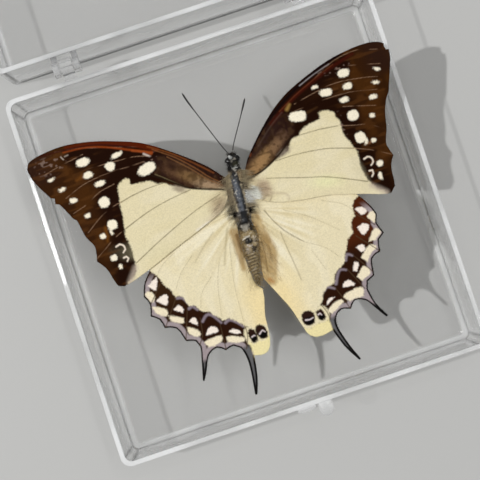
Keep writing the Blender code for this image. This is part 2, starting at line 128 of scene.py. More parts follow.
def clearMaterial(name, sizes):
    material, tree, shader = newMaterial(name)
    place = addNode(tree, "ShaderNodeTexCoord")
    wave = addNode(tree, "ShaderNodeTexNoise", {"Scale": 1000 / sizes["waveMm"], "Detail": 1.0},
                   {"Vector": place.outputs["Object"]})
    scratch = addNode(tree, "ShaderNodeTexNoise", {"Scale": 1000 / sizes["scratchMm"], "Detail": 2.0},
                      {"Vector": place.outputs["Object"]})
    rough = addNode(tree, "ShaderNodeMapRange",
                    {"From Min": 0.35, "From Max": 0.75, "To Min": sizes["roughness"] * 0.5,
                     "To Max": sizes["roughness"] * 1.8}, {"Value": scratch})
    bump = addNode(tree, "ShaderNodeBump", {"Strength": clearFinish["waveStrength"],
                                            "Distance": clearFinish["waveDepth"]}, {"Height": wave})
    setSockets(tree, shader, {"Base Color": linear(sizes["tint"]), "Transmission Weight": 1.0,
                              "IOR": sizes["ior"]}, {"Roughness": rough, "Normal": bump})
    # what a lamp's ray loses at each face: more where it grazes, and more on a narrow rim
    facing = addNode(tree, "ShaderNodeLayerWeight", {"Blend": 0.5})
    grazing = addNode(tree, "ShaderNodeMath", {1: clearFinish["grazing"]},
                      {0: facing.outputs["Facing"]}, operation="POWER")
    straight, flat = clearFinish["passes"]
    passed = addNode(tree, "ShaderNodeMapRange", {"To Min": straight, "To Max": flat},
                     {"Value": grazing})
    rim = addNode(tree, "ShaderNodeAttribute", attribute_name="rim")
    kept = addNode(tree, "ShaderNodeMapRange", {"To Min": 1.0, "To Max": sizes["rimKeeps"]},
                   {"Value": rim.outputs["Fac"]})
    both = addNode(tree, "ShaderNodeMath", links={0: passed, 1: kept}, operation="MULTIPLY")
    through = addNode(tree, "ShaderNodeBsdfTransparent", links={"Color": both})
    path = addNode(tree, "ShaderNodeLightPath")
    either = addNode(tree, "ShaderNodeMath", links={0: path.outputs["Is Shadow Ray"],
                                                    1: path.outputs["Is Diffuse Ray"]},
                     operation="MAXIMUM")
    # painted highlight: a whitish diffuse share on worn edges and wall faces stands in for bands of
    # reflected light, here more, there less
    edge = addNode(tree, "ShaderNodeAttribute", attribute_name="edge")
    least, most = clearFinish["patchy"]
    patchy = addNode(tree, "ShaderNodeMapRange", {"From Min": 0.3, "From Max": 0.7, "To Min": least,
                                                  "To Max": most}, {"Value": wave})
    share = addNode(tree, "ShaderNodeMath", links={0: edge.outputs["Fac"], 1: patchy},
                    operation="MULTIPLY")
    whitish = addNode(tree, "ShaderNodeBsdfDiffuse", {"Color": linear(clearFinish["rubbedAndHighlit"])})
    solid = addNode(tree, "ShaderNodeMixShader", links={0: share, 1: shader, 2: whitish})
    mix = addNode(tree, "ShaderNodeMixShader", links={0: either, 1: solid, 2: through})
    setSockets(tree, tree.nodes["Material Output"], {}, {"Surface": mix})
    return material


mouldedPolystyrene = clearMaterial("clearMouldedPolystyrene", plastic)
acrylicRod = clearMaterial("clearPolishedAcrylicRod",
                           {"ior": 1.49, "tint": "#ffffff", "roughness": 0.02, "waveMm": 6.0,
                            "scratchMm": 0.4, "rimKeeps": 1.0})
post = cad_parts["support_post"].data
post.materials.clear()
post.materials.append(acrylicRod)


# ---- the two trays, with finer rounds than their solids
tray = {"side": 102.0, "height": 22.0, "wall": 1.3, "draft": 0.25, "floor": 1.5, "corner": 2.8,
        "outerFillet": 0.8, "innerFillet": 2.0, "rimRound": 0.16, "beside": 0.4, "cornerSteps": 12,
        "axisY": 54.6, "axisZ": 22.15, "hingeX": 32.0, "lugWidth": 3.4, "earWidth": 1.6,
        "knuckle": 2.3, "pin": 1.0, "fit": 0.3, "knobTop": 21.8, "knobWidth": 4.1,
        "knobLength": 3.9, "knobThickness": 2.4, "baseKnobX": 4.6, "ledge": (-0.4, 1.3, 5.2, 1.2)}
# how whitish the plastic is, partly from wear and partly as painted highlight and reflection: its
# rim, the foot of the walls inside, their faces, the round under them, and the knuckles and tabs
rubbedAndHighlit = {"rim": 0.75, "foot": 0.55, "inside": 0.45, "outside": 0.1, "underRound": 0.4, "tabs": 0.25}
lidY = 2 * tray["axisY"]


def arcSteps(count):
    return [(math.sin(a), math.cos(a)) for a in (i / count * math.pi / 2 for i in range(count + 1))]


def trayRings():
    # Inset and height of each ring, from the underside over the rim to the floor inside. The outer
    # face leans in as much as the inner one, so that one looks straight through the wall. A ring
    # just beside each round keeps the flat faces flat when they are shaded.
    t = tray
    top, lean, foot, r = t["height"], t["draft"], t["wall"] + t["draft"], t["rimRound"]
    out, inner, beside = t["outerFillet"], t["innerFillet"], t["beside"]
    slope = lean / (top - r - out)
    rings = [(lean + out + beside, 0.0)]
    rings += [(lean + out * (1 - s), out * (1 - c)) for s, c in arcSteps(6)]
    rings += [(lean - slope * beside, out + beside), (slope * beside, top - r - beside)]
    rings += [(r * (1 - c), top - r * (1 - s)) for s, c in arcSteps(4)]
    rings += [(r + 0.04, top), (t["wall"] - r - 0.04, top)]
    rings += [(t["wall"] - r * (1 - s), top - r * (1 - c)) for s, c in arcSteps(4)]
    rings += [(t["wall"] + slope * beside, top - r - beside),
              (foot - slope * beside, t["floor"] + inner + beside)]
    rings += [(foot + inner * (1 - c), t["floor"] + inner * (1 - s)) for s, c in arcSteps(6)]
    return rings + [(foot + inner + beside, t["floor"])]


def squareRing(inset, z, centreY):
    # a tray's outline with its round corners, set in from the outer face
    half = tray["side"] / 2 - inset
    radius = tray["corner"] - inset * 0.6
    arc = [(half - radius + radius * c, half - radius + radius * s)
           for s, c in arcSteps(tray["cornerSteps"])]
    arc = [(half, arc[0][1] - tray["beside"])] + arc + [(arc[-1][0] - tray["beside"], half)]
    ring = []
    for turn in (quarter * math.pi / 2 for quarter in range(4)):
        c, s = math.cos(turn), math.sin(turn)
        ring += [(x * c - y * s, centreY + x * s + y * c, z) for x, y in arc]
    return ring


def closedLoft(rings):
    # rings joined in turn, with a face across the first and the last
    bm = bmesh.new()
    rows = [[bm.verts.new(Vector(p) * mm) for p in ring] for ring in rings]
    for low, high in zip(rows, rows[1:]):
        for i in range(len(low)):
            j = (i + 1) % len(low)
            bm.faces.new((low[i], low[j], high[j], high[i]))
    bm.faces.new(list(reversed(rows[0])))
    bm.faces.new(rows[-1])
    bmesh.ops.recalc_face_normals(bm, faces=bm.faces)
    return bm


def prismAlong(outline, start, step, bevel):
    # a flat outline pushed along a step, its end edges rounded
    bm = bmesh.new()
    face = bm.faces.new([bm.verts.new((Vector(p) + Vector(start)) * mm) for p in outline])
    moved = bmesh.ops.extrude_face_region(bm, geom=[face])["geom"]
    bmesh.ops.translate(bm, vec=Vector(step) * mm,
                        verts=[v for v in moved if isinstance(v, bmesh.types.BMVert)])
    bmesh.ops.recalc_face_normals(bm, faces=bm.faces)
    push = Vector(step).normalized()
    rims = [e for e in bm.edges if abs((e.verts[0].co - e.verts[1].co).normalized().dot(push)) < 0.1]
    if bevel:
        bmesh.ops.bevel(bm, geom=rims, offset=bevel * mm, segments=3, affect="EDGES", profile=0.5)
    return bm


def knuckle(wallY, x0, x1):
    # a round eye on the hinge line, on a neck that grows out of the top of a wall
    t = tray
    side = 1 if wallY > t["axisY"] else -1
    root, neck = wallY + side * t["wall"] / 2, t["height"] - 0.4
    outline = []
    for i in range(28):
        a = i / 36 * 2 * math.pi
        y, z = t["axisY"] - side * t["knuckle"] * math.sin(a), t["axisZ"] + t["knuckle"] * math.cos(a)
        if z < neck or side * (y - t["axisY"]) <= 0.01:
            outline.append((0, y, z))
    outline += [(0, root, t["axisZ"] - t["knuckle"]), (0, root, neck),
                (0, t["axisY"] + side * 2.1, neck), (0, t["axisY"] + side * 1.2, t["axisZ"] + 1.9)]
    return prismAlong(outline, (x0, 0, 0), (x1 - x0, 0, 0), 0)


def rod(x, length, radius):
    # a pin, or the tool for its hole, along the hinge line
    bm = bmesh.new()
    bmesh.ops.create_cone(bm, cap_ends=True, segments=36, radius1=radius * mm, radius2=radius * mm,
                          depth=length * mm)
    for v in bm.verts:
        v.co = Vector((x * mm + v.co.z, tray["axisY"] * mm + v.co.x, tray["axisZ"] * mm + v.co.y))
    bmesh.ops.recalc_face_normals(bm, faces=bm.faces)
    return bm


def thumbTab(x, wallY, length, width, thickness):
    # a flat tab with a round end that stands out of a wall
    side = 1 if wallY > 0 else -1
    bend = min(width / 2, length - 0.5)
    outline = [(-width / 2, -tray["wall"] / 2 * side, 0)]
    for i in range(19):
        a = math.pi - i / 18 * math.pi
        outline.append((width / 2 * math.cos(a), side * (length - bend + bend * math.sin(a)), 0))
    outline.append((width / 2, -tray["wall"] / 2 * side, 0))
    return prismAlong(outline, (x, wallY, tray["knobTop"] - thickness), (0, 0, thickness),
                      min(0.45, thickness * 0.3))


def rubbedAndHighlitShare(place, centreY):
    # how whitish a place of a tray is, from wear and painted highlight
    t = tray
    inset = t["side"] / 2 - max(abs(place.x), abs(place.y - centreY * mm)) / mm
    height, foot = place.z / mm, t["wall"] + t["draft"]
    if height < 0.05:
        return 0.0
    if inset < -0.1:
        return rubbedAndHighlit["tabs"]
    if height > t["height"] - t["rimRound"] * 1.5:
        return rubbedAndHighlit["rim"]
    if inset > foot - 0.2:
        return rubbedAndHighlit["foot"] if 0.1 < height - t["floor"] < t["innerFillet"] + 0.1 else 0.0
    if inset > t["wall"]:
        return rubbedAndHighlit["inside"]
    return rubbedAndHighlit["underRound"] if 0.1 < height < t["outerFillet"] + 0.1 else rubbedAndHighlit["outside"]


def mouldTray(name, node, centreY, joined, cut, body):
    # loft the tray, weld on its lugs and tabs, cut its holes, and mark its rim and its edges that are
    # whitish from wear and painted highlight
    piece = addObject(name, meshFrom(closedLoft([squareRing(inset, z, centreY)
                                                 for inset, z in trayRings()]), name))
    tools = []
    for shape, operation in [(s, "UNION") for s in joined] + [(s, "DIFFERENCE") for s in cut]:
        tools.append(addObject("tool", meshFrom(shape, "tool")))
        weld = piece.modifiers.new("weld", "BOOLEAN")
        weld.operation, weld.solver, weld.object = operation, "EXACT", tools[-1]
    done = finished(piece)
    for extra in tools + [piece]:
        bpy.data.objects.remove(extra)
    done.name = name
    bm = mergedCopy(done, 2e-6)
    bm.to_mesh(done)
    bm.free()
    done.shade_smooth()
    done.set_sharp_from_angle(angle=math.radians(32))
    top = (tray["height"] - tray["rimRound"] * 0.6) * mm
    setAttribute(done, "rim", "FLOAT", "POINT", [1.0 if v.co.z > top else 0.0 for v in done.vertices])
    setAttribute(done, "edge", "FLOAT", "POINT", [rubbedAndHighlitShare(v.co, centreY) for v in done.vertices])
    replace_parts(addPiece(name, done, mouldedPolystyrene, body), node)
    print(name, len(done.polygons), "faces")


half, gap, ear = tray["side"] / 2, tray["lugWidth"] / 2 + tray["fit"], tray["earWidth"]
lugs, pins, ears, holes = [], [], [], []
for x in (-tray["hingeX"], tray["hingeX"]):
    lugs.append(knuckle(half, x - tray["lugWidth"] / 2, x + tray["lugWidth"] / 2))
    pins.append(rod(x, 2 * (gap + ear), tray["pin"]))
    ears += [knuckle(lidY - half, x - gap - ear, x - gap), knuckle(lidY - half, x + gap, x + gap + ear)]
    holes.append(rod(x, tray["lugWidth"] + 4 * ear, tray["pin"] + tray["fit"]))
knob = tray["knobLength"], tray["knobWidth"], tray["knobThickness"]
knobs = [thumbTab(tray["baseKnobX"], -half, *knob), thumbTab(tray["ledge"][0], -half, *tray["ledge"][1:])]
lidKnob = thumbTab(0.0, half, *knob)
bmesh.ops.translate(lidKnob, verts=lidKnob.verts, vec=(0, lidY * mm, 0))
mouldTray("base_tray_clear", "base_tray", 0.0, lugs + pins + knobs, [], "case")
mouldTray("lid_clear", "lid", lidY, ears + [lidKnob], holes, "lid")
print("case done")


# ---- drawing on the wings: distances in mm from named lines and shapes
def fade(low, high, value):
    t = np.clip((value - low) / (high - low), 0.0, 1.0)
    return t * t * (3 - 2 * t)


def mottle(p, size, seed):
    # smooth noise from 0 to 1
    table = np.random.default_rng(seed).random((97, 89))
    q = p / size + seed * 3.7
    cell = np.floor(q).astype(int)
    f = q - cell
    f = f * f * (3 - 2 * f)
    x0, y0 = cell[:, 0] % 97, cell[:, 1] % 89
    x1, y1 = (x0 + 1) % 97, (y0 + 1) % 89
    low = table[x0, y0] * (1 - f[:, 0]) + table[x1, y0] * f[:, 0]
    high = table[x0, y1] * (1 - f[:, 0]) + table[x1, y1] * f[:, 0]
    return low * (1 - f[:, 1]) + high * f[:, 1]


def smoothStretch(a, b, c, d, spacing):
    # points of a smooth curve from b up to c, where a comes before and d after them
    steps = max(1, round((c - b).length / spacing))
    return [0.5 * (2 * b + (c - a) * t + (2 * a - 5 * b + 4 * c - d) * t * t
                   + (3 * b - a - 3 * c + d) * t ** 3) for t in (step / steps for step in range(steps))]


def smoothRoute(points, spacing=0.7):
    pts = [Vector(p) for p in points]
    pts = [pts[0] * 2 - pts[1]] + pts + [pts[-1] * 2 - pts[-2]]
    curve = []
    for a, b, c, d in zip(pts, pts[1:], pts[2:], pts[3:]):
        curve += smoothStretch(a, b, c, d, spacing)
    return curve + [pts[-2]]


def ovalDistance(p, x, y, width, height):
    # 0 in the middle of an oval and 1 on its edge
    return np.hypot((p[:, 0] - x) / width, (p[:, 1] - y) / height)


def routeDistance(p, route):
    # distance from a route, and how far along it the nearest place is, from 0 to 1
    best = np.full(len(p), 1e9)
    along = np.zeros(len(p))
    steps = [(b - a).length for a, b in zip(route, route[1:])]
    total, done = sum(steps), 0.0
    for a, b, length in zip(route, route[1:], steps):
        if length < 1e-9:
            continue
        start, step = np.array(a[:2]), np.array((b - a)[:2])
        t = np.clip(((p - start) @ step) / length ** 2, 0, 1)
        d = np.hypot(*(p - start - t[:, None] * step).T)
        near = d < best
        best[near] = d[near]
        along[near] = (done + t[near] * length) / total
        done += length
    return best, along


def regionDistance(p, outline):
    # distance from the edge of a closed shape, below 0 inside it
    ring = [Vector(q) for q in outline]
    d, _ = routeDistance(p, ring + ring[:1])
    inside = np.zeros(len(p), bool)
    for a, b in zip(ring, ring[1:] + ring[:1]):
        if abs(a.y - b.y) < 1e-9:
            continue
        crosses = ((a.y > p[:, 1]) != (b.y > p[:, 1])) & (
            p[:, 0] < a.x + (p[:, 1] - a.y) / (b.y - a.y) * (b.x - a.x))
        inside ^= crosses
    return np.where(inside, -d, d)


def closedShape(points, spacing=0.7):
    # a smooth closed outline through the points
    loop = list(points)
    whole = smoothRoute(loop[-2:] + loop + loop[:2], spacing)
    lead = smoothRoute(loop[-2:] + loop[:1], spacing)
    tail = smoothRoute(loop[-1:] + loop[:2], spacing)
    return whole[len(lead) - 1:len(whole) - len(tail)]


class Painting:
    # colours of the points of a wing, laid on in layers like scales

    def __init__(self, p, hexText, seed):
        self.p = p
        self.colour = np.tile(linear(hexText), (len(p), 1))
        self.relief = np.zeros(len(p))
        self.grain = (mottle(p, 0.28, seed) - 0.5) * 0.30 + (mottle(p, 0.9, seed + 5) - 0.5) * 0.25

    def lay(self, hexText, mask):
        self.colour += (np.array(linear(hexText)) - self.colour) * mask[:, None]

    def shape(self, hexText, outline, soft=0.25, strength=1.0, rough=1.0, smooth=True):
        ring = closedShape(outline) if smooth else outline
        d = regionDistance(self.p, ring) + self.grain * rough
        self.lay(hexText, strength * fade(soft, -soft, d))

    def spot(self, hexText, x, y, width, height, tilt=0.0, soft=0.22, strength=1.0):
        q = self.p - np.array((x, y))
        c, s = math.cos(math.radians(tilt)), math.sin(math.radians(tilt))
        u = (q[:, 0] * c + q[:, 1] * s) / (width / 2)
        v = (-q[:, 0] * s + q[:, 1] * c) / (height / 2)
        d = ((np.abs(u) ** 2.4 + np.abs(v) ** 2.4) ** (1 / 2.4) - 1) * min(width, height) / 2
        self.lay(hexText, strength * fade(soft, -soft, d + self.grain * 0.9))

    def line(self, hexText, route, width, endWidth=None, soft=0.10, strength=1.0, ridge=0.0):
        d, along = routeDistance(self.p, smoothRoute(route))
        half = (width + ((endWidth or width) - width) * along) / 2
        self.lay(hexText, strength * fade(soft, -soft, d - half + self.grain * 0.15))
        self.relief += ridge * np.exp(-(d / 0.28) ** 2)


# ---- hairs, grown on a skin by one node tree
# metres, for a strand 1 mm long: its radius, the share left at its tip, how far it stands up from
# the skin and how wildly, and how much lengths and tones vary
hairSizes = {"radius": 0.00005, "tip": 0.15, "lift": 0.6, "lengths": (0.55, 1.25), "tones": (0.6, 1.25),
             "wildest": ((-0.35, -0.35, -0.2), (0.35, 0.35, 0.3))}


def hairTree():
    sizes = hairSizes
    tree = bpy.data.node_groups.new("hairsOnSkin", "GeometryNodeTree")
    sockets = (("Skin", "NodeSocketGeometry"), ("perSquareMm", "NodeSocketFloat"),
               ("thickness", "NodeSocketFloat"), ("seed", "NodeSocketInt"),
               ("coat", "NodeSocketMaterial"))
    for name, kind in sockets:
        tree.interface.new_socket(name, in_out="INPUT", socket_type=kind)
    tree.interface.new_socket("Hairs", in_out="OUTPUT", socket_type="NodeSocketGeometry")
    given = addNode(tree, "NodeGroupInput")
    density, length, lean = (
        addNode(tree, "GeometryNodeInputNamedAttribute", {"Name": name}, data_type=kind) for name, kind
        in (("hairDensity", "FLOAT"), ("hairLength", "FLOAT"), ("hairLean", "FLOAT_VECTOR")))
    perMm = addNode(tree, "ShaderNodeMath", links={0: density, 1: given.outputs["perSquareMm"]},
                    operation="MULTIPLY")
    perMetre = addNode(tree, "ShaderNodeMath", {1: 1e6}, {0: perMm}, operation="MULTIPLY")
    roots = addNode(tree, "GeometryNodeDistributePointsOnFaces",
                    links={"Mesh": given, "Density": perMetre, "Seed": given.outputs["seed"]})
    wild = addNode(tree, "FunctionNodeRandomValue", dict(zip(("Min", "Max"), sizes["wildest"])),
                   data_type="FLOAT_VECTOR")
    up = addNode(tree, "ShaderNodeVectorMath", {"Scale": sizes["lift"]}, {0: roots.outputs["Normal"]},
                 operation="SCALE")
    leaning = addNode(tree, "ShaderNodeVectorMath", links={0: up, 1: lean}, operation="ADD")
    way = addNode(tree, "ShaderNodeVectorMath", links={0: leaning, 1: wild}, operation="ADD")
    turn = addNode(tree, "FunctionNodeAlignRotationToVector", links={"Vector": way}, axis="Z")
    # one strand: bent, three-sided, thin at its tip, 1 mm long
    bend = addNode(tree, "GeometryNodeCurveQuadraticBezier",
                   {"Resolution": 3, "Start": (0, 0, -0.00005), "Middle": (0, 0, 0.0006),
                    "End": (0.0002, 0.0001, 0.001)})
    along = addNode(tree, "GeometryNodeSplineParameter")
    taper = addNode(tree, "ShaderNodeMapRange", {"To Min": 1.0, "To Max": sizes["tip"]},
                    {"Value": along})
    tapered = addNode(tree, "GeometryNodeSetCurveRadius", links={"Curve": bend, "Radius": taper})
    section = addNode(tree, "GeometryNodeCurvePrimitiveCircle",
                      {"Resolution": 3, "Radius": sizes["radius"]})
    strand = addNode(tree, "GeometryNodeCurveToMesh", {"Fill Caps": True},
                     {"Curve": tapered, "Profile Curve": section, "Scale": taper})
    (least, most), (dark, light) = sizes["lengths"], sizes["tones"]
    vary = addNode(tree, "FunctionNodeRandomValue", {2: least, 3: most, "Seed": 3}, data_type="FLOAT")
    tall = addNode(tree, "ShaderNodeMath", links={0: vary.outputs[1], 1: length}, operation="MULTIPLY")
    thick = given.outputs["thickness"]
    size = addNode(tree, "ShaderNodeCombineXYZ", links={"X": thick, "Y": thick, "Z": tall})
    tone = addNode(tree, "FunctionNodeRandomValue", {2: dark, 3: light, "Seed": 7}, data_type="FLOAT")
    toned = addNode(tree, "GeometryNodeStoreNamedAttribute", {"Name": "strandTone"},
                    {"Geometry": roots, "Value": tone.outputs[1]}, data_type="FLOAT", domain="POINT")
    grown = addNode(tree, "GeometryNodeInstanceOnPoints",
                    links={"Points": toned, "Instance": strand, "Rotation": turn, "Scale": size})
    real = addNode(tree, "GeometryNodeRealizeInstances", links={"Geometry": grown})
    coated = addNode(tree, "GeometryNodeSetMaterial",
                     links={"Geometry": real, "Material": given.outputs["coat"]})
    addNode(tree, "NodeGroupOutput", links={"Hairs": coated})
    return tree


hairs = hairTree()
# Fine chitin hair: matt, the tone of what it grows on, each strand a little lighter or darker.
hairCoat, tree, shader = newMaterial("fineInsectHair")
hairTone = addNode(tree, "ShaderNodeAttribute", attribute_name="hairColour")
strandTone = addNode(tree, "ShaderNodeAttribute", attribute_name="strandTone")
toned = addNode(tree, "ShaderNodeVectorMath", links={0: hairTone, 1: strandTone.outputs["Fac"]},
                operation="MULTIPLY")
setSockets(tree, shader, {"Roughness": 0.55, "Specular IOR Level": 0.12}, {"Base Color": toned})


def describeHair(skin, domain, density, length, lean, tone):
    for name, kind, values in (("hairDensity", "FLOAT", density), ("hairLength", "FLOAT", length),
                               ("hairLean", "FLOAT_VECTOR", lean), ("hairColour", "FLOAT_COLOR", tone)):
        setAttribute(skin, name, kind, domain, values)


def growHair(name, skin, perSquareMm, thickness, seed):
    host = addObject("skinOf" + name, skin)
    grow = host.modifiers.new("grow", "NODES")
    grow.node_group = hairs
    given = {"perSquareMm": perSquareMm, "thickness": thickness, "seed": seed, "coat": hairCoat}
    for socket in hairs.interface.items_tree:
        if socket.name in given:
            grow[socket.identifier] = given[socket.name]
    mesh = finished(host)
    bpy.data.objects.remove(host)
    bpy.data.meshes.remove(skin)
    mesh.shade_smooth()
    print(name, len(mesh.polygons), "faces")
    addPiece(name, mesh, hairCoat, "case")


# middle and half widths of the hairy places at the forewings' roots
hairPatches = {"left": (-4.4, 5.2, 3.4, 4.6), "right": (5.2, 5.8, 3.2, 4.2),
               "whiteTuft": (4.0, 6.4, 1.6, 2.2)}


def wingHair(node, p, painted):
    # density, length, lean and colour of the hairs at points of a wing's top
    sign = -1 if node.startswith("left") else 1
    density, lean = np.zeros(len(p)), np.zeros((len(p), 3))
    length, tone = np.full(len(p), 1.5), painted.copy()
    if "forewing" in node:
        near = ovalDistance(p, *hairPatches["left" if sign < 0 else "right"])
        density = 0.30 * fade(1.1, 0.4, near)
        lean[:] = (sign * 1.3, -0.5, 0.1)
        tan = fade(1.2, 0.6, near)[:, None]
        tone += (np.array(linear("#c4b193")) - tone) * tan * 0.6
        if sign > 0:
            fluff = fade(1.2, 0.7, ovalDistance(p, *hairPatches["whiteTuft"]))[:, None]
            density += 0.5 * fluff[:, 0]
            tone += (np.array(linear("#eeeee2")) - tone) * fluff
    else:
        density = 0.10 * fade(6.0, 3.0, np.abs(p[:, 0])) * fade(-18, -14, p[:, 1])
        lean[:] = (sign * 0.15, -1.4, 0.05)
        length[:] = 2.2
        tone += (np.array(linear("#d9c79c")) - tone) * 0.5
    return density, length, lean, tone


# ---- wings
# Chitin membrane under overlapping scales: matt, with a faint silky sheen across the scale rows.
wingSizes = {"thickness": 0.12, "topAbove": 0.18, "grid": 0.21, "edgeStep": 0.3, "lowGrid": 0.9,
             "forewingZ": 32.6, "hindwingZ": 31.55, "tipDroop": 2.6, "tailDroop": 0.8,
             "squeezeFrom": 36.0, "squeeze": 0.925, "edgeRoll": (0.8, 0.03), "fringe": 0.42,
             "hairsPerSquareMm": 30.0, "hairThickness": 0.55}

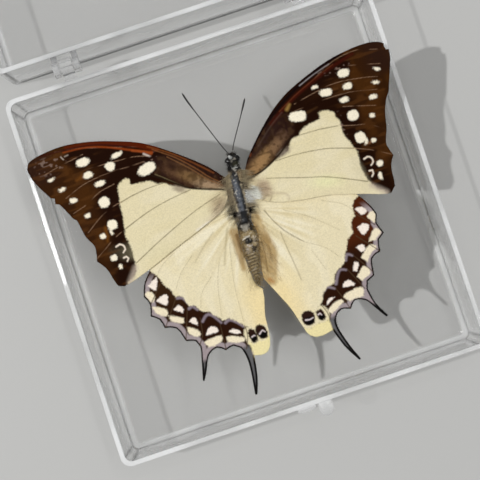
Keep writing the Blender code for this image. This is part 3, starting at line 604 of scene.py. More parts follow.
forewingMarks = {
    "left": {
        "patch": [(-10.7, 12.5), (-15.3, 15), (-16.7, 16), (-18.7, 16.7), (-20, 17.7), (-22, 18.1),
            (-24, 18.3), (-25.2, 18.7), (-24.9, 19.8), (-25.7, 20.3), (-27.3, 20), (-28.5, 18.8),
            (-28.8, 17.3), (-29.1, 15), (-29.3, 13.3), (-29.8, 9.7), (-30.2, 8), (-30.5, 6.3),
            (-30.2, 4.7), (-30, 2), (-30.2, 0.3), (-30.3, -1.2), (-30.7, -3), (-32, -4.3), (-33.3, -5),
            (-33.5, -9), (0, -9), (0, 9), (-2.7, 9.7)],
        "cell": [(-1.5, 13.5), (-5.4, 17.8), (-12, 22.4), (-17.8, 23.2), (-18.9, 21.5), (-18.3, 19),
            (-16.7, 17.7), (-13.7, 15), (-10.3, 12.5), (-2.7, 9.7), (-1, 9)],
        "spots": [(-34.9, 27.9, 3.5, 2, 0), (-34.7, 24.3, 2.5, 1.6, 0), (-26.2, 26.9, 2.8, 1.2, 10),
            (-28.6, 24.6, 2.4, 2.2, 0), (-19.9, 21, 4.7, 2.7, 10), (-32.5, 21.3, 2.5, 1.4, 0),
            (-40.3, 19.4, 2.1, 1.2, 0), (-42.3, 23, 1.8, 1, 0), (-44, 26.3, 1.6, 0.8, 0),
            (-32.9, 16.4, 2.8, 2.8, 0), (-38, 14.5, 1.5, 1.1, 0), (-32.7, 10.2, 2.5, 2.6, 0),
            (-33.6, 8.6, 0.8, 1.6, 20), (-36, 8.2, 1.4, 1.4, 0), (-35.1, 2.1, 1.8, 1.6, 0),
            (-34.1, -0.7, 0.9, 1.2, 0)],
        "hooks": [
            [(-33.6, 4.6), (-32.6, 4.9), (-31.7, 4.3), (-31.6, 3.2), (-32.3, 2.6)],
            [(-32.6, 1.3), (-31.9, 1.4), (-31.5, 0.8), (-32, 0.2)],
        ],
        "creamVeins": [
            [(-4, 9), (-12, 6.7), (-22, 2.7), (-30, -1)],
            [(-11, 12.4), (-17, 11.7), (-22, 10.7), (-26, 9.5), (-29.8, 8.2)],
            [(-16.7, 16.2), (-20.7, 16.2), (-25.3, 15.7), (-28.7, 15)],
            [(-2.7, 9.7), (-10.3, 12.5), (-13.7, 15), (-16.7, 17.7), (-18.3, 19)],
        ],
        "darkVeins": [
            [(-29.8, 8.2), (-33.3, 6.8), (-36.3, 5), (-39.2, 3.3)],
            [(-28.7, 15), (-30.7, 14.7), (-34.7, 13.2), (-39.3, 10.3)],
            [(-29, 20), (-33.3, 19.2), (-37.3, 17.3), (-41.3, 16.2)],
            [(-20, 23), (-24.7, 23), (-28.7, 23.2), (-36, 22.5), (-42, 20.5)],
            [(-18.3, 24), (-22, 25), (-25.3, 25.3), (-37, 26)],
            [(-18.7, 26.7), (-28.7, 29.7), (-35.3, 31.8), (-41, 32.7)],
            [(-34.3, 29.8), (-37.7, 29.3), (-40.3, 29), (-45.3, 28)],
        ],
        "core": [(-33, -4), (-31, 4), (-31, 12), (-30.5, 20), (-24, 21.5), (-18, 20)],
        "upperCore": [(-17, 24.5), (-23, 27), (-29, 27.5), (-36, 29.8)],
        "strokes": [
            ("#551c06", [(-38, 32.9), (-30, 31.4), (-22, 28.4), (-16, 25.2)], 0.9, 1.5, 0.3, 0.9),
            ("#35100a", [(-45, 32.9), (-38, 32.3), (-30, 30.9), (-22, 27.6)], 0.4, 0.4, 0.25, 0.9),
            ("#8a3c14", [(-39, 31.9), (-33, 31.2), (-28, 29.6), (-22, 26.8), (-17.3, 24.6)], 0.3, 0.6,
             0.22, 0.9),
            ("#9c4c22", [(-22, 26.6), (-19.5, 25.5), (-17.6, 24.3)], 0.4, 0.5, 0.3, 0.8),
            ("#e8d8cc", [(-19.4, 24.9), (-18.2, 23.9)], 0.5, 0.3, 0.25, 0.7),
            ("#7c4420", [(-18, 26.4), (-13, 23), (-8, 18.6), (-4, 14.6)], 0.3, 0.35, 0.2, 0.8),
            ("#80522f", [(-17, 25.3), (-12, 21.4), (-8, 17.2), (-5.4, 14), (-3, 11.8)], 0.25, 0.25, 0.14,
             0.8),
            ("#7c5534", [(-14, 22.3), (-9, 17.2), (-6, 13.6), (-3, 11)], 0.22, 0.3, 0.14, 0.8),
            ("#21150c", [(-19.6, 19.2), (-16.5, 17), (-13.5, 14.7), (-10.3, 12.5), (-2.7, 9.7)], 0.32,
             0.5, 0.14, 0.95),
            ("#c4b4a4", [(-39.9, 31), (-39.5, 30.2)], 0.3, 0.3, 0.15, 0.8),
            ("#b8a898", [(-38.9, 30.8), (-38, 30.9)], 0.3, 0.25, 0.15, 0.7),
            ("#7a4a18", [(-34.7, 10), (-34.9, 8.2), (-35.2, 6.6)], 0.9, 0.5, 0.5, 0.6),
            ("#7a4a1c", [(-36, 24.4), (-37.8, 24)], 1.2, 0.8, 0.6, 0.55),
            ("#b8a898", [(-30.6, -2), (-33, -5.2)], 1.1, 1.3, 0.8, 0.75),
            ("#57503c", [(-13.3, 0.8), (-10.5, 1.5), (-7, 3.1)], 0.16, 0.12, 0.1, 0.7),
            ("#f4efe6", [(-12.6, 2), (-9.5, 2.9), (-7.4, 2.8)], 0.5, 0.4, 0.4, 0.5),
        ],
        "washes": [("#5a3f2c", -12.2, 17.6, 8.4, 3.8, -40, 1.1, 0.85),
            ("#80633f", -9.2, 14.9, 7.5, 2.2, -36, 0.9, 0.8), ("#a58a6c", -6, 12, 6.6, 2, -32, 0.8, 0.9),
            ("#22110c", -13.5, 19.4, 2.6, 1.5, -40, 0.8, 0.8), ("#9a8166", -5, 6.2, 4.6, 4.6, 0, 2, 0.65),
            ("#8a7a68", -13.6, 13.5, 3.4, 1.5, -32, 0.6, 0.75),
            ("#b8a68c", -7.2, 3.6, 3.6, 2, 20, 1.4, 0.5), ("#d9cfa6", -22, -0.5, 14, 3, -18, 2, 0.45)],
        "specks": [(-43.5, 29.8, 5.5, 3), (-18, 23, 2.6, 2.4)],
    },
    "right": {
        "patch": [(12.7, 12.8), (16, 14), (16.7, 15.3), (18, 16.5), (20, 16.7), (20.3, 17.5),
            (21.7, 18.3), (24, 18.8), (26.3, 19), (26.5, 19.7), (26.3, 20.7), (27.3, 20.9), (29, 20.5),
            (30.2, 19.7), (30.3, 18.3), (31, 16.7), (30.6, 14.7), (31, 12.7), (31.7, 11), (32.2, 9.3),
            (32.8, 8), (32.5, 6), (32.3, 4.3), (32.5, 2.3), (32.8, 0.7), (33.7, -1), (34.7, -2.5),
            (36.3, -4), (36.5, -8), (2, -8), (1, 9), (5.3, 10.2)],
        "cell": [(3, 13), (5.2, 15.8), (10, 20.4), (15, 23.6), (19, 23), (19.6, 21), (19, 18.2),
            (17, 16.2), (15, 14.8), (13, 13.5), (10, 11.8), (5.3, 10.2), (2.8, 9.4)],
        "spots": [(35.9, 28.5, 3.3, 2.1, 0), (35.9, 25, 2.5, 1.7, 0), (30, 25.1, 3.1, 1.9, -8),
            (27.7, 27.3, 1.6, 0.9, 0), (21, 21.5, 4.5, 2.7, -8), (33.8, 21.9, 2.5, 1.4, 0),
            (45.2, 27, 1.8, 0.8, -20), (43.7, 23.7, 1.9, 0.9, -15), (41.7, 20.4, 2, 1.2, 0),
            (34.7, 17.4, 2.9, 2.7, 0), (39.7, 15.8, 1.4, 1.1, 0), (34.7, 11.4, 2.7, 2.7, 0),
            (35.8, 9.9, 0.8, 1.6, -25), (37.8, 9.6, 1.4, 1, 0), (37.4, 3.4, 1.8, 1.6, 0),
            (36.5, 0.4, 1.1, 1.8, 0)],
        "hooks": [
            [(33.8, 5.8), (34.8, 6.1), (35.7, 5.5), (35.8, 4.4), (35, 3.7)],
            [(34.1, 2.5), (34.9, 2.4), (34.9, 1.5), (34.3, 0.9)],
        ],
        "creamVeins": [
            [(8.3, 9), (11, 8.2), (18, 6), (23, 4.5), (29.3, 1.7), (32.8, 0)],
            [(12, 12.5), (17.3, 12.4), (21.3, 12), (26, 11.2), (32, 9.3)],
            [(20.3, 16.8), (25.3, 16.6), (30, 16)],
            [(5.3, 10.2), (10, 11.8), (13, 13.5), (15, 14.8)],
        ],
        "darkVeins": [
            [(32, 9.3), (36.7, 7.3), (41.5, 4.7)],
            [(30, 16), (34.3, 14.8), (37.7, 14), (41.8, 11.7)],
            [(33, 20.3), (36.7, 19.3), (41.7, 18)],
            [(20, 23), (25.3, 23.4), (32, 23.5), (36.7, 23.2), (43.7, 21.8)],
            [(21.3, 24.8), (26.7, 25.9), (33, 26.7), (41, 25.8), (44.7, 25)],
            [(37.7, 30), (43.3, 28.8), (46.7, 28)],
            [(23.3, 27), (30, 30.3), (35, 32.5), (41, 33.2), (44.3, 32.5), (47.3, 31.8)],
        ],
        "core": [(36, -3), (34, 6), (33, 14), (31.5, 21), (25, 21.3), (19, 18)],
        "upperCore": [(14, 20), (20, 25), (28, 29), (36, 31)],
        "strokes": [
            ("#120606", [(4.5, 14.5), (10, 20.1), (15, 24), (20, 27), (25, 29.5), (31, 31.9), (36, 33.2)],
             0.8, 0.6, 0.2, 0.95),
            # painted highlight: the next thin pale grey line just inside the costa is a glint along it
            ("#a8a0a0", [(24, 28.9), (28, 30.4), (33, 31.9)], 0.22, 0.18, 0.14, 0.75),
            ("#3d1208", [(14, 21.8), (20, 25.6), (26, 28.3), (33, 30.8), (40, 32.6)], 1, 0.8, 0.4, 0.9),
            ("#6a3820", [(17, 24.2), (22, 26.8), (28, 29.3), (34, 31.5)], 0.2, 0.16, 0.12, 0.7),
            ("#b08a4a", [(19, 24.1), (20, 25.1)], 0.8, 0.5, 0.5, 0.7),
            ("#8a4a28", [(6.2, 15.8), (6.6, 16.3)], 0.4, 0.3, 0.3, 0.5),
            ("#55443a", [(9, 17.5), (13.5, 21.2), (17.5, 23.8)], 0.3, 0.2, 0.3, 0.6),
            ("#21150c", [(3.6, 10.3), (8, 11.2), (12, 13), (15, 14.8), (17.2, 16.8)], 0.5, 0.36, 0.14,
             0.95),
            ("#5c3a1c", [(32, 25.3), (33, 25.2)], 0.7, 0.4, 0.4, 0.6),
            ("#4a3018", [(23.2, 21.6), (26.5, 22.2)], 0.7, 0.3, 0.35, 0.6),
            ("#8a6040", [(35.5, 9.5), (36.6, 9.3), (37.4, 9.6)], 0.6, 0.5, 0.35, 0.7),
            ("#b8a898", [(33.4, -1.2), (36.6, -4.2)], 1, 1.4, 0.8, 0.75),
            ("#6a5a46", [(3.2, 3.2), (6.6, 4.3)], 0.2, 0.14, 0.1, 0.8),
            ("#8c7c66", [(5, 2.4), (7.4, 3.2), (8.3, 4.3)], 0.35, 0.2, 0.2, 0.7),
            ("#6e604a", [(7.5, 2.9), (10.5, 1.6), (13.5, 1.1), (17, 0.2)], 0.16, 0.12, 0.12, 0.6),
            ("#a08c78", [(8.5, 5), (12, 3.6), (12.2, 2)], 0.5, 0.3, 0.5, 0.45),
        ],
        "washes": [("#99774f", 8, 13.3, 10.5, 3, 32, 0.9, 0.95),
            ("#7c5f45", 13.6, 16.4, 5, 2.2, 36, 0.9, 0.85),
            ("#5a4232", 15.8, 18.2, 2.6, 2.6, 30, 0.8, 0.8),
            ("#3a2a24", 10.5, 17.6, 8, 1.2, 38, 0.9, 0.5), ("#a8917a", 6.9, 6.8, 3.8, 4.6, 0, 1.2, 0.8),
            ("#fbfbf4", 4.4, 6.4, 2.3, 4, 25, 0.35, 1), ("#8a7e6e", 14.8, 13.9, 3.4, 1.4, 20, 0.6, 0.8),
            ("#e8e8b4", 22.5, 3.4, 7, 2.6, -15, 1.4, 0.6), ("#cfc4a2", 31.5, 3.5, 2, 9, 8, 1.2, 0.4)],
        "specks": [(31.2, 15.5, 0.9, 5), (33, 30.5, 7, 1.6)],
    },
}

hindwingMarks = {
    "left": {
        "inside": [(-27.3, -4), (-26, -5.7), (-25.2, -8.3), (-24, -10.3), (-23.2, -12.3), (-21.7, -12.7),
            (-20.7, -15.7), (-19.3, -16), (-18.3, -18), (-16.3, -18.7), (-14.7, -20.7), (-13.8, -22),
            (-12, -21.8), (-10.3, -23.3), (-8.8, -25), (-7.7, -25.5), (-6.5, -26.4), (-5, -26),
            (-3.2, -26.6), (2, -26), (2, 12), (-30, 12), (-28.5, -3)],
        "triangles": [
            [(-29.2, -7.5), (-26.3, -6), (-26.7, -7.7), (-27.5, -9.2), (-28.8, -8)],
            [(-28.3, -11.8), (-25.8, -10.8), (-25.2, -11.7), (-26, -13.7), (-27.2, -12.8)],
            [(-24.8, -15.3), (-23.2, -14.7), (-22.3, -16), (-22.8, -16.8), (-24, -16)],
            [(-22, -19.5), (-20.7, -18.8), (-20, -19.7), (-20.2, -21), (-21.3, -20.3)],
            [(-19, -24.2), (-17.8, -22.5), (-16.2, -22.7), (-15.5, -24), (-17.3, -24.3)],
            [(-13.3, -25.3), (-12.2, -24.7), (-10.5, -25.7), (-10.3, -26.5), (-12, -26)],
        ],
        "blocks": [
            [(-30.7, -9.2), (-29.8, -8.8), (-28.8, -9.2), (-28.2, -10.5), (-29.2, -12), (-30.2, -10.8)],
            [(-29.7, -13), (-28.5, -13.3), (-26.3, -15), (-27, -16.3), (-28.8, -15.3), (-29.8, -14.2)],
            [(-26.5, -16.3), (-23, -18.3), (-23.2, -19.3), (-25, -18.8), (-26.8, -17.3)],
            [(-23, -20.5), (-20.3, -22.5), (-20.5, -23.8), (-22, -23.3), (-23.3, -21.7)],
            [(-20, -25.7), (-17.8, -25.3), (-15.3, -25.3), (-15.2, -26.2), (-16.2, -27.2), (-19.3, -27.3),
             (-20.1, -26.7)],
            [(-14.3, -26.2), (-12.7, -26.5), (-10, -27.7), (-10.3, -28.8), (-12.7, -28.2),
             (-14.7, -27.2)],
        ],
        "arcs": [
            [(-18.7, -20.5), (-17.3, -19.3), (-16, -19.7), (-14.3, -22.3)],
            [(-13.3, -22.7), (-12, -22.3), (-10.3, -23.7), (-9.3, -25)],
            [(-21, -16.3), (-20, -16), (-19, -17.3)],
            [(-23, -12.8), (-21.7, -13.2), (-20.7, -15)],
            [(-8.8, -27.6), (-8.4, -26.2), (-7.5, -25.9)],
        ],
        "borderVeins": [
            [(-30, -12.3), (-26, -8)],
            [(-28.2, -19), (-23.3, -12.7)],
            [(-24.3, -23.8), (-21.3, -16)],
            [(-21.3, -26), (-19.8, -23.7), (-19, -19.5)],
            [(-15.3, -29.5), (-14.7, -22.7)],
            [(-10.3, -30.7), (-9, -27.7), (-8.7, -24.3)],
        ],
        "eyespots": [(-7.66, -28.05, 2, 3.7, 6), (-5.2, -27.8, 2.7, 3.9, 8)],
        "glints": [
            [(-8, -28.3), (-7.4, -28.1), (-7.2, -28.2)],
            [(-5.9, -28.2), (-4.9, -27.5), (-4.4, -28.1)],
        ],
        "lobe": [(-9.2, -29.2), (-8.4, -30.2), (-6.6, -29.9), (-5, -30.1), (-3.2, -29), (-2.6, -31),
            (-4, -34), (-7, -34.5), (-9.4, -33.6)],
        "veins": [
            [(-16, -3.7), (-20, -7), (-22.7, -10.7)],
            [(-13, -10.3), (-16.7, -13.7), (-18, -17)],
            [(-9.7, -7), (-12, -12.7), (-13.7, -20.7)],
            [(-6, -4), (-8, -14), (-8.8, -24)],
            [(-20, -1.5), (-24, -3.6), (-26.6, -6.4)],
        ],
        "fold": [(-2.2, 2), (-3, -3), (-3.2, -8), (-2.6, -14), (-1.4, -17.2), (2, -16), (2, 2)],
        "strokes": [
            ("#a3824e", [(-3.9, -1.5), (-4.1, -6), (-4.4, -11)], 2.4, 1.3, 0.6, 0.8),
            ("#6b4c26", [(-3.4, -2.4), (-3.5, -6.6)], 1, 0.7, 0.4, 0.8),
            ("#8a7a50", [(-5.2, 0), (-7.4, -5), (-8.8, -8.6)], 0.5, 0.25, 0.4, 0.5),
            ("#9a8656", [(-2.8, -13.8), (-2.2, -16.4)], 1.6, 1.2, 0.8, 0.6),
            ("#8f815c", [(-9, 0.2), (-12.5, -2.6), (-15.8, -5.6)], 0.3, 0.2, 0.3, 0.4),
        ],
        "borderTone": "#2a1408",
        "topTone": "#35200f",
    },
    "right": {
        "inside": [(28.2, -3.5), (27, -4.7), (26.7, -7.3), (25.3, -8.7), (25, -11.3), (23.3, -12.3),
            (22.3, -14.3), (21.3, -15.7), (20.3, -18), (18.3, -19), (17, -20.3), (16.3, -22),
            (14.3, -22.3), (12.8, -23.7), (11.7, -25.7), (10.2, -26.4), (9.2, -27.6), (8.2, -26.6),
            (6.6, -26.5), (5.2, -27.6), (3, -27.2), (-4, -26), (-4, 12), (31, 12), (30, -2.5)],
        "triangles": [
            [(27.5, -5.7), (29.3, -5.7), (30.3, -7), (29, -7.7), (28, -7)],
            [(26.5, -10.3), (28.3, -9.9), (29.5, -10.7), (28.7, -12), (27.5, -12.7), (26.7, -11.5)],
            [(24.5, -15), (25.5, -14.7), (26.7, -15.3), (26.3, -16.7), (24.8, -16.3)],
            [(22, -20.5), (23, -18.4), (23.8, -19), (23.3, -20.3), (22.3, -21.3)],
            [(18, -23.8), (19, -22.5), (20, -22.3), (21.3, -23.8), (20, -24.2)],
            [(12.8, -26.7), (13.8, -25.2), (15.3, -25.4), (14.7, -26)],
        ],
        "blocks": [
            [(29.8, -8.5), (31.2, -7.5), (32.3, -8.3), (31.8, -10.3), (30.3, -10.3)],
            [(28.2, -14.7), (29.7, -12.7), (31, -12), (32, -13.3), (30.7, -14.2), (29.3, -15.2)],
            [(25, -18), (27.7, -15.7), (29, -15.7), (29.7, -16.8), (27.7, -17.7), (25.7, -19.7)],
            [(22.5, -22.3), (24.8, -20.2), (26, -21.3), (25.7, -22.7), (24, -23.2), (23, -24)],
            [(17.5, -26.2), (18.7, -25.3), (22.3, -25), (23, -26), (22.3, -27.5), (20.3, -27.3),
             (18.2, -27.7)],
            [(12.5, -28.2), (14.7, -26.7), (16.7, -26.5), (17.2, -27.2), (14.7, -28.5), (12.8, -29.3)],
        ],
        "arcs": [
            [(16.7, -22.3), (18, -20), (19, -19.2), (20.3, -19.7)],
            [(13.3, -22.9), (14.3, -22.3), (16, -23.3)],
            [(21, -17.3), (21.8, -16), (23, -16.7)],
            [(10.2, -26.8), (11.4, -27.4), (11.8, -28.8)],
        ],
        "borderVeins": [
            [(31, -11), (27.3, -7)],
            [(30.2, -18), (25.5, -12.2)],
            [(26.7, -22.3), (23, -16.3)],
            [(23.3, -25.7), (21.7, -22), (20.6, -19.5)],
            [(18.2, -29.5), (17.2, -26), (16, -22.7)],
            [(12.5, -30.3), (12.2, -28.3), (11.3, -26)],
        ],
        "eyespots": [(7.25, -28.35, 3.4, 3.8, 0), (10.55, -28.5, 2, 3, 16)],
        "glints": [
            [(6.4, -28.6), (7.3, -28.8), (8.4, -28.6)],
            [(9.9, -28.3), (10.4, -28.1), (10.7, -28.6)],
        ],
        "lobe": [(5.2, -30.2), (6.4, -30.9), (8.4, -30.6), (9.6, -30.4), (11.2, -30.6), (12, -30),
            (12.3, -33), (10, -34.5), (6, -33.6), (4.6, -31.4)],
        "veins": [
            [(5.3, 1), (7.5, -3.3), (9, -6), (12.3, -9.3), (17, -12.5), (20, -16.3)],
            [(7.5, -5), (8, -12), (8.5, -18.3)],
            [(13.5, -12), (15.5, -18)],
            [(10, 0), (16, -4), (22, -9.5)],
            [(20, -0.8), (25, -3.5), (27.2, -6.5)],
        ],
        "fold": [(3, 2), (3.9, -2), (4.9, -7.5), (5, -9.5), (4, -13), (2.5, -17), (1.2, -17.4), (-2, -16),
            (-2, 2)],
        "strokes": [
            ("#7d6238", [(2.2, -5), (1.9, -9), (1.2, -13.6)], 0.4, 0.3, 0.25, 0.8),
            ("#b0722c", [(1, -15.8), (1.6, -16.6)], 0.9, 0.6, 0.6, 0.7),
            ("#80745a", [(5.3, 1.4), (6.6, -1.8), (8.2, -4.6), (10, -6.8), (12.3, -9.3)], 0.24, 0.2, 0.15,
             0.75),
            ("#95886a", [(7.4, -5.4), (7.7, -9), (8.3, -14), (8.7, -18.5)], 0.18, 0.16, 0.16, 0.6),
        ],
        "borderTone": "#2a1408",
        "topTone": "#4c210c",
    },
}


def wingOutline(node):
    # the margin of a wing's solid, in mm, with more points between its own
    bm = mergedCopy(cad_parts[node].data)
    top = {f for f in bm.faces if f.normal.z > 0.5}
    ahead = {}
    for edge in bm.edges:
        if len([f for f in edge.link_faces if f in top]) == 1:
            for loop in edge.link_loops:
                if loop.face in top:
                    ahead[loop.vert] = loop.link_loop_next.vert
    vert = next(iter(ahead))
    ring = []
    for _ in range(len(ahead)):
        ring.append(Vector((vert.co.x, vert.co.y)) / mm)
        vert = ahead[vert]
    bm.free()
    fine = []
    for i in range(len(ring)):
        a, b, c, d = (ring[(i + k) % len(ring)] for k in (-1, 0, 1, 2))
        if (b - a).angle(c - b) > 0.5:  # a corner: start straight
            a = b * 2 - c
        if (c - b).angle(d - c) > 0.5:
            d = c * 2 - b
        fine += smoothStretch(a, b, c, d, wingSizes["edgeStep"])
    return fine


def forewingHeight(p):
    out = np.maximum(0.0, (np.abs(p[:, 0]) - 20.0) / 29.0)
    return wingSizes["forewingZ"] - wingSizes["tipDroop"] * out ** 2


def hindwingHeight(p):
    back = np.maximum(0.0, (-p[:, 1] - 18.0) / 24.0)
    return wingSizes["hindwingZ"] - wingSizes["tailDroop"] * back ** 2


def gridInside(outline, spacing, clear):
    # a staggered grid of points inside an outline
    ring = np.array([tuple(q) for q in outline])
    low, high = ring.min(0), ring.max(0)
    rows = []
    for row in range(int((high[1] - low[1]) / (spacing * 0.866)) + 1):
        x = np.arange(low[0] + (row % 2) * spacing / 2, high[0], spacing)
        rows.append(np.column_stack((x, np.full(len(x), low[1] + row * spacing * 0.866))))
    grid = np.concatenate(rows)
    return grid[regionDistance(grid, outline) < -clear]


def wingSheet(outline, spacing):
    # triangles that fill an outline: its points come first
    inner = gridInside(outline, spacing, spacing * 0.45)
    links = [(i, (i + 1) % len(outline)) for i in range(len(outline))]
    points = list(outline) + [Vector(q) for q in inner]
    points, _, faces, *_ = delaunay_2d_cdt(points, links, [], 1, 1e-6)
    return np.array([tuple(q) for q in points]), faces


def makeWing(node, height, paint, material):
    outline = wingOutline(node)
    top, topFaces = wingSheet(outline, wingSizes["grid"])
    low, lowFaces = wingSheet(outline, wingSizes["lowGrid"])
    painted, under = paint(top, outline), paint(low, outline)
    reach, drop = wingSizes["edgeRoll"]
    edge = fade(0.0, reach, -regionDistance(top, outline))
    topZ = height(top) + wingSizes["topAbove"] + painted.relief * edge - (1 - edge) * drop
    lowZ = height(low) + wingSizes["topAbove"] - wingSizes["thickness"]
    # the two sheets share no points: a strip joins them round the margin
    count, first = len(outline), len(top)
    points = np.concatenate((np.column_stack((top, topZ)), np.column_stack((low, lowZ)))) * mm
    faces = [tuple(f) for f in topFaces] + [tuple(first + i for i in reversed(f)) for f in lowFaces]
    for i in range(count):
        j = (i + 1) % count
        faces.append((i, first + i, first + j, j))
    mesh = bpy.data.meshes.new(node)
    mesh.from_pydata([tuple(q) for q in points], [], faces)
    bm = bmesh.new()
    bm.from_mesh(mesh)
    bmesh.ops.recalc_face_normals(bm, faces=bm.faces)
    bm.to_mesh(mesh)
    bm.free()
    colours = np.concatenate((painted.colour, under.colour))
    setAttribute(mesh, "scaleColour", "FLOAT_COLOR", "POINT", colours)
    mesh.shade_smooth()
    piece = addPiece(node + "_scales", mesh, material, "case")
    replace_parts(piece, node)
    # where hairs and the fringe of scales grow, face by face
    tips = np.array([f[0] for f in faces])
    centres = points[tips] / mm
    rims = np.arange(len(faces)) >= len(topFaces) + len(lowFaces)
    uppers = np.arange(len(faces)) < len(topFaces)
    density, length, lean, tone = wingHair(node, centres, colours[tips])
    density = np.where(rims, 1.0, density * uppers)
    length = np.where(rims, wingSizes["fringe"], length)
    lean[rims] = 0
    tone[rims] = colours[tips][rims]
    skin = mesh.copy()
    describeHair(skin, "FACE", density, length, lean, tone)
    growHair(node + "_hair", skin, wingSizes["hairsPerSquareMm"], wingSizes["hairThickness"],
             len(node))
    print(node, len(mesh.polygons), "faces")


def paintForewing(side):
    marks = forewingMarks[side]

    def paint(p, outline):
        q = p.copy()
        if side == "right":
            far = q[:, 0] > wingSizes["squeezeFrom"]
            q[far, 0] = (wingSizes["squeezeFrom"]
                         + (q[far, 0] - wingSizes["squeezeFrom"]) / wingSizes["squeeze"])
        art = Painting(q, "#321a07", 11 if side == "left" else 12)
        streaks = mottle(q * np.array((0.35, 1.3)), 1.1, 4)
        art.lay("#4a2a0c", 0.6 * fade(0.45, 0.8, mottle(q, 3.0, 3)) * fade(31, 36, np.abs(q[:, 0])))
        art.lay("#2a1812", 0.7 * fade(40, 46, np.abs(q[:, 0])) * fade(24, 28, q[:, 1]))
        art.lay("#1b0903", 0.92 * fade(5.5, 2.0, routeDistance(q, smoothRoute(marks["core"]))[0]))
        art.lay("#1b0903", 0.92 * fade(4.0, 1.6, routeDistance(q, smoothRoute(marks["upperCore"]))[0]))
        art.lay("#5c3818", 0.35 * fade(0.62, 0.85, streaks) * fade(28, 36, np.abs(q[:, 0])))
        # the cell: dark near the costa, grey-brown and tan along its lower edge
        art.shape("#281510", marks["cell"], soft=0.6, strength=0.95)
        inCell = fade(0.4, -0.4, regionDistance(q, marks["cell"]))
        art.lay("#45301f", 0.7 * inCell * fade(0.5, 0.85, mottle(q, 1.1, 8)))
        art.shape("#e1d5af", marks["patch"], soft=0.28, rough=1.1)
        inPatch = fade(0.4, -0.4, regionDistance(q, marks["patch"]))
        art.lay("#e8dec0", 0.45 * inPatch * fade(0.35, 0.75, mottle(q * np.array((0.45, 1)), 2.6, 21)))
        art.lay("#dccfa4", 0.30 * inPatch * fade(0.45, 0.8, mottle(q * np.array((0.4, 1)), 1.6, 22)))
        for wash in marks["washes"]:
            art.spot(*wash)
        art.lay("#33200f", 0.55 * inCell * fade(0.55, 0.85, mottle(q, 0.7, 9)))
        for speck in marks["specks"]:
            near = fade(1.0, 0.5, ovalDistance(q, *speck))
            art.lay("#8a7468", 0.6 * near * fade(0.70, 0.86, mottle(q * np.array((0.6, 1)), 0.42, 25)))
        for route in marks["creamVeins"]:
            art.line("#6b5f42", route, 0.17, 0.26, strength=0.8, ridge=0.08)
        for route in marks["darkVeins"]:
            before = art.colour.copy()
            art.line("#9a7a60", route, 0.17, 0.12, strength=0.75, ridge=0.08)
            worn = fade(0.2, 0.6, mottle(q, 1.7, 14))[:, None]
            art.colour = before + (art.colour - before) * worn
        for stroke in marks["strokes"]:
            art.line(*stroke)
        for spot in marks["spots"]:
            art.spot("#f6ecd4", *spot)
        for hook in marks["hooks"]:
            art.line("#f0e0cc", hook, 0.42, 0.34, soft=0.16)
        art.relief += 0.10 * (mottle(q, 6.0, 31) - 0.5) + 0.03 * (mottle(q, 1.4, 32) - 0.5)
        return art
    return paint


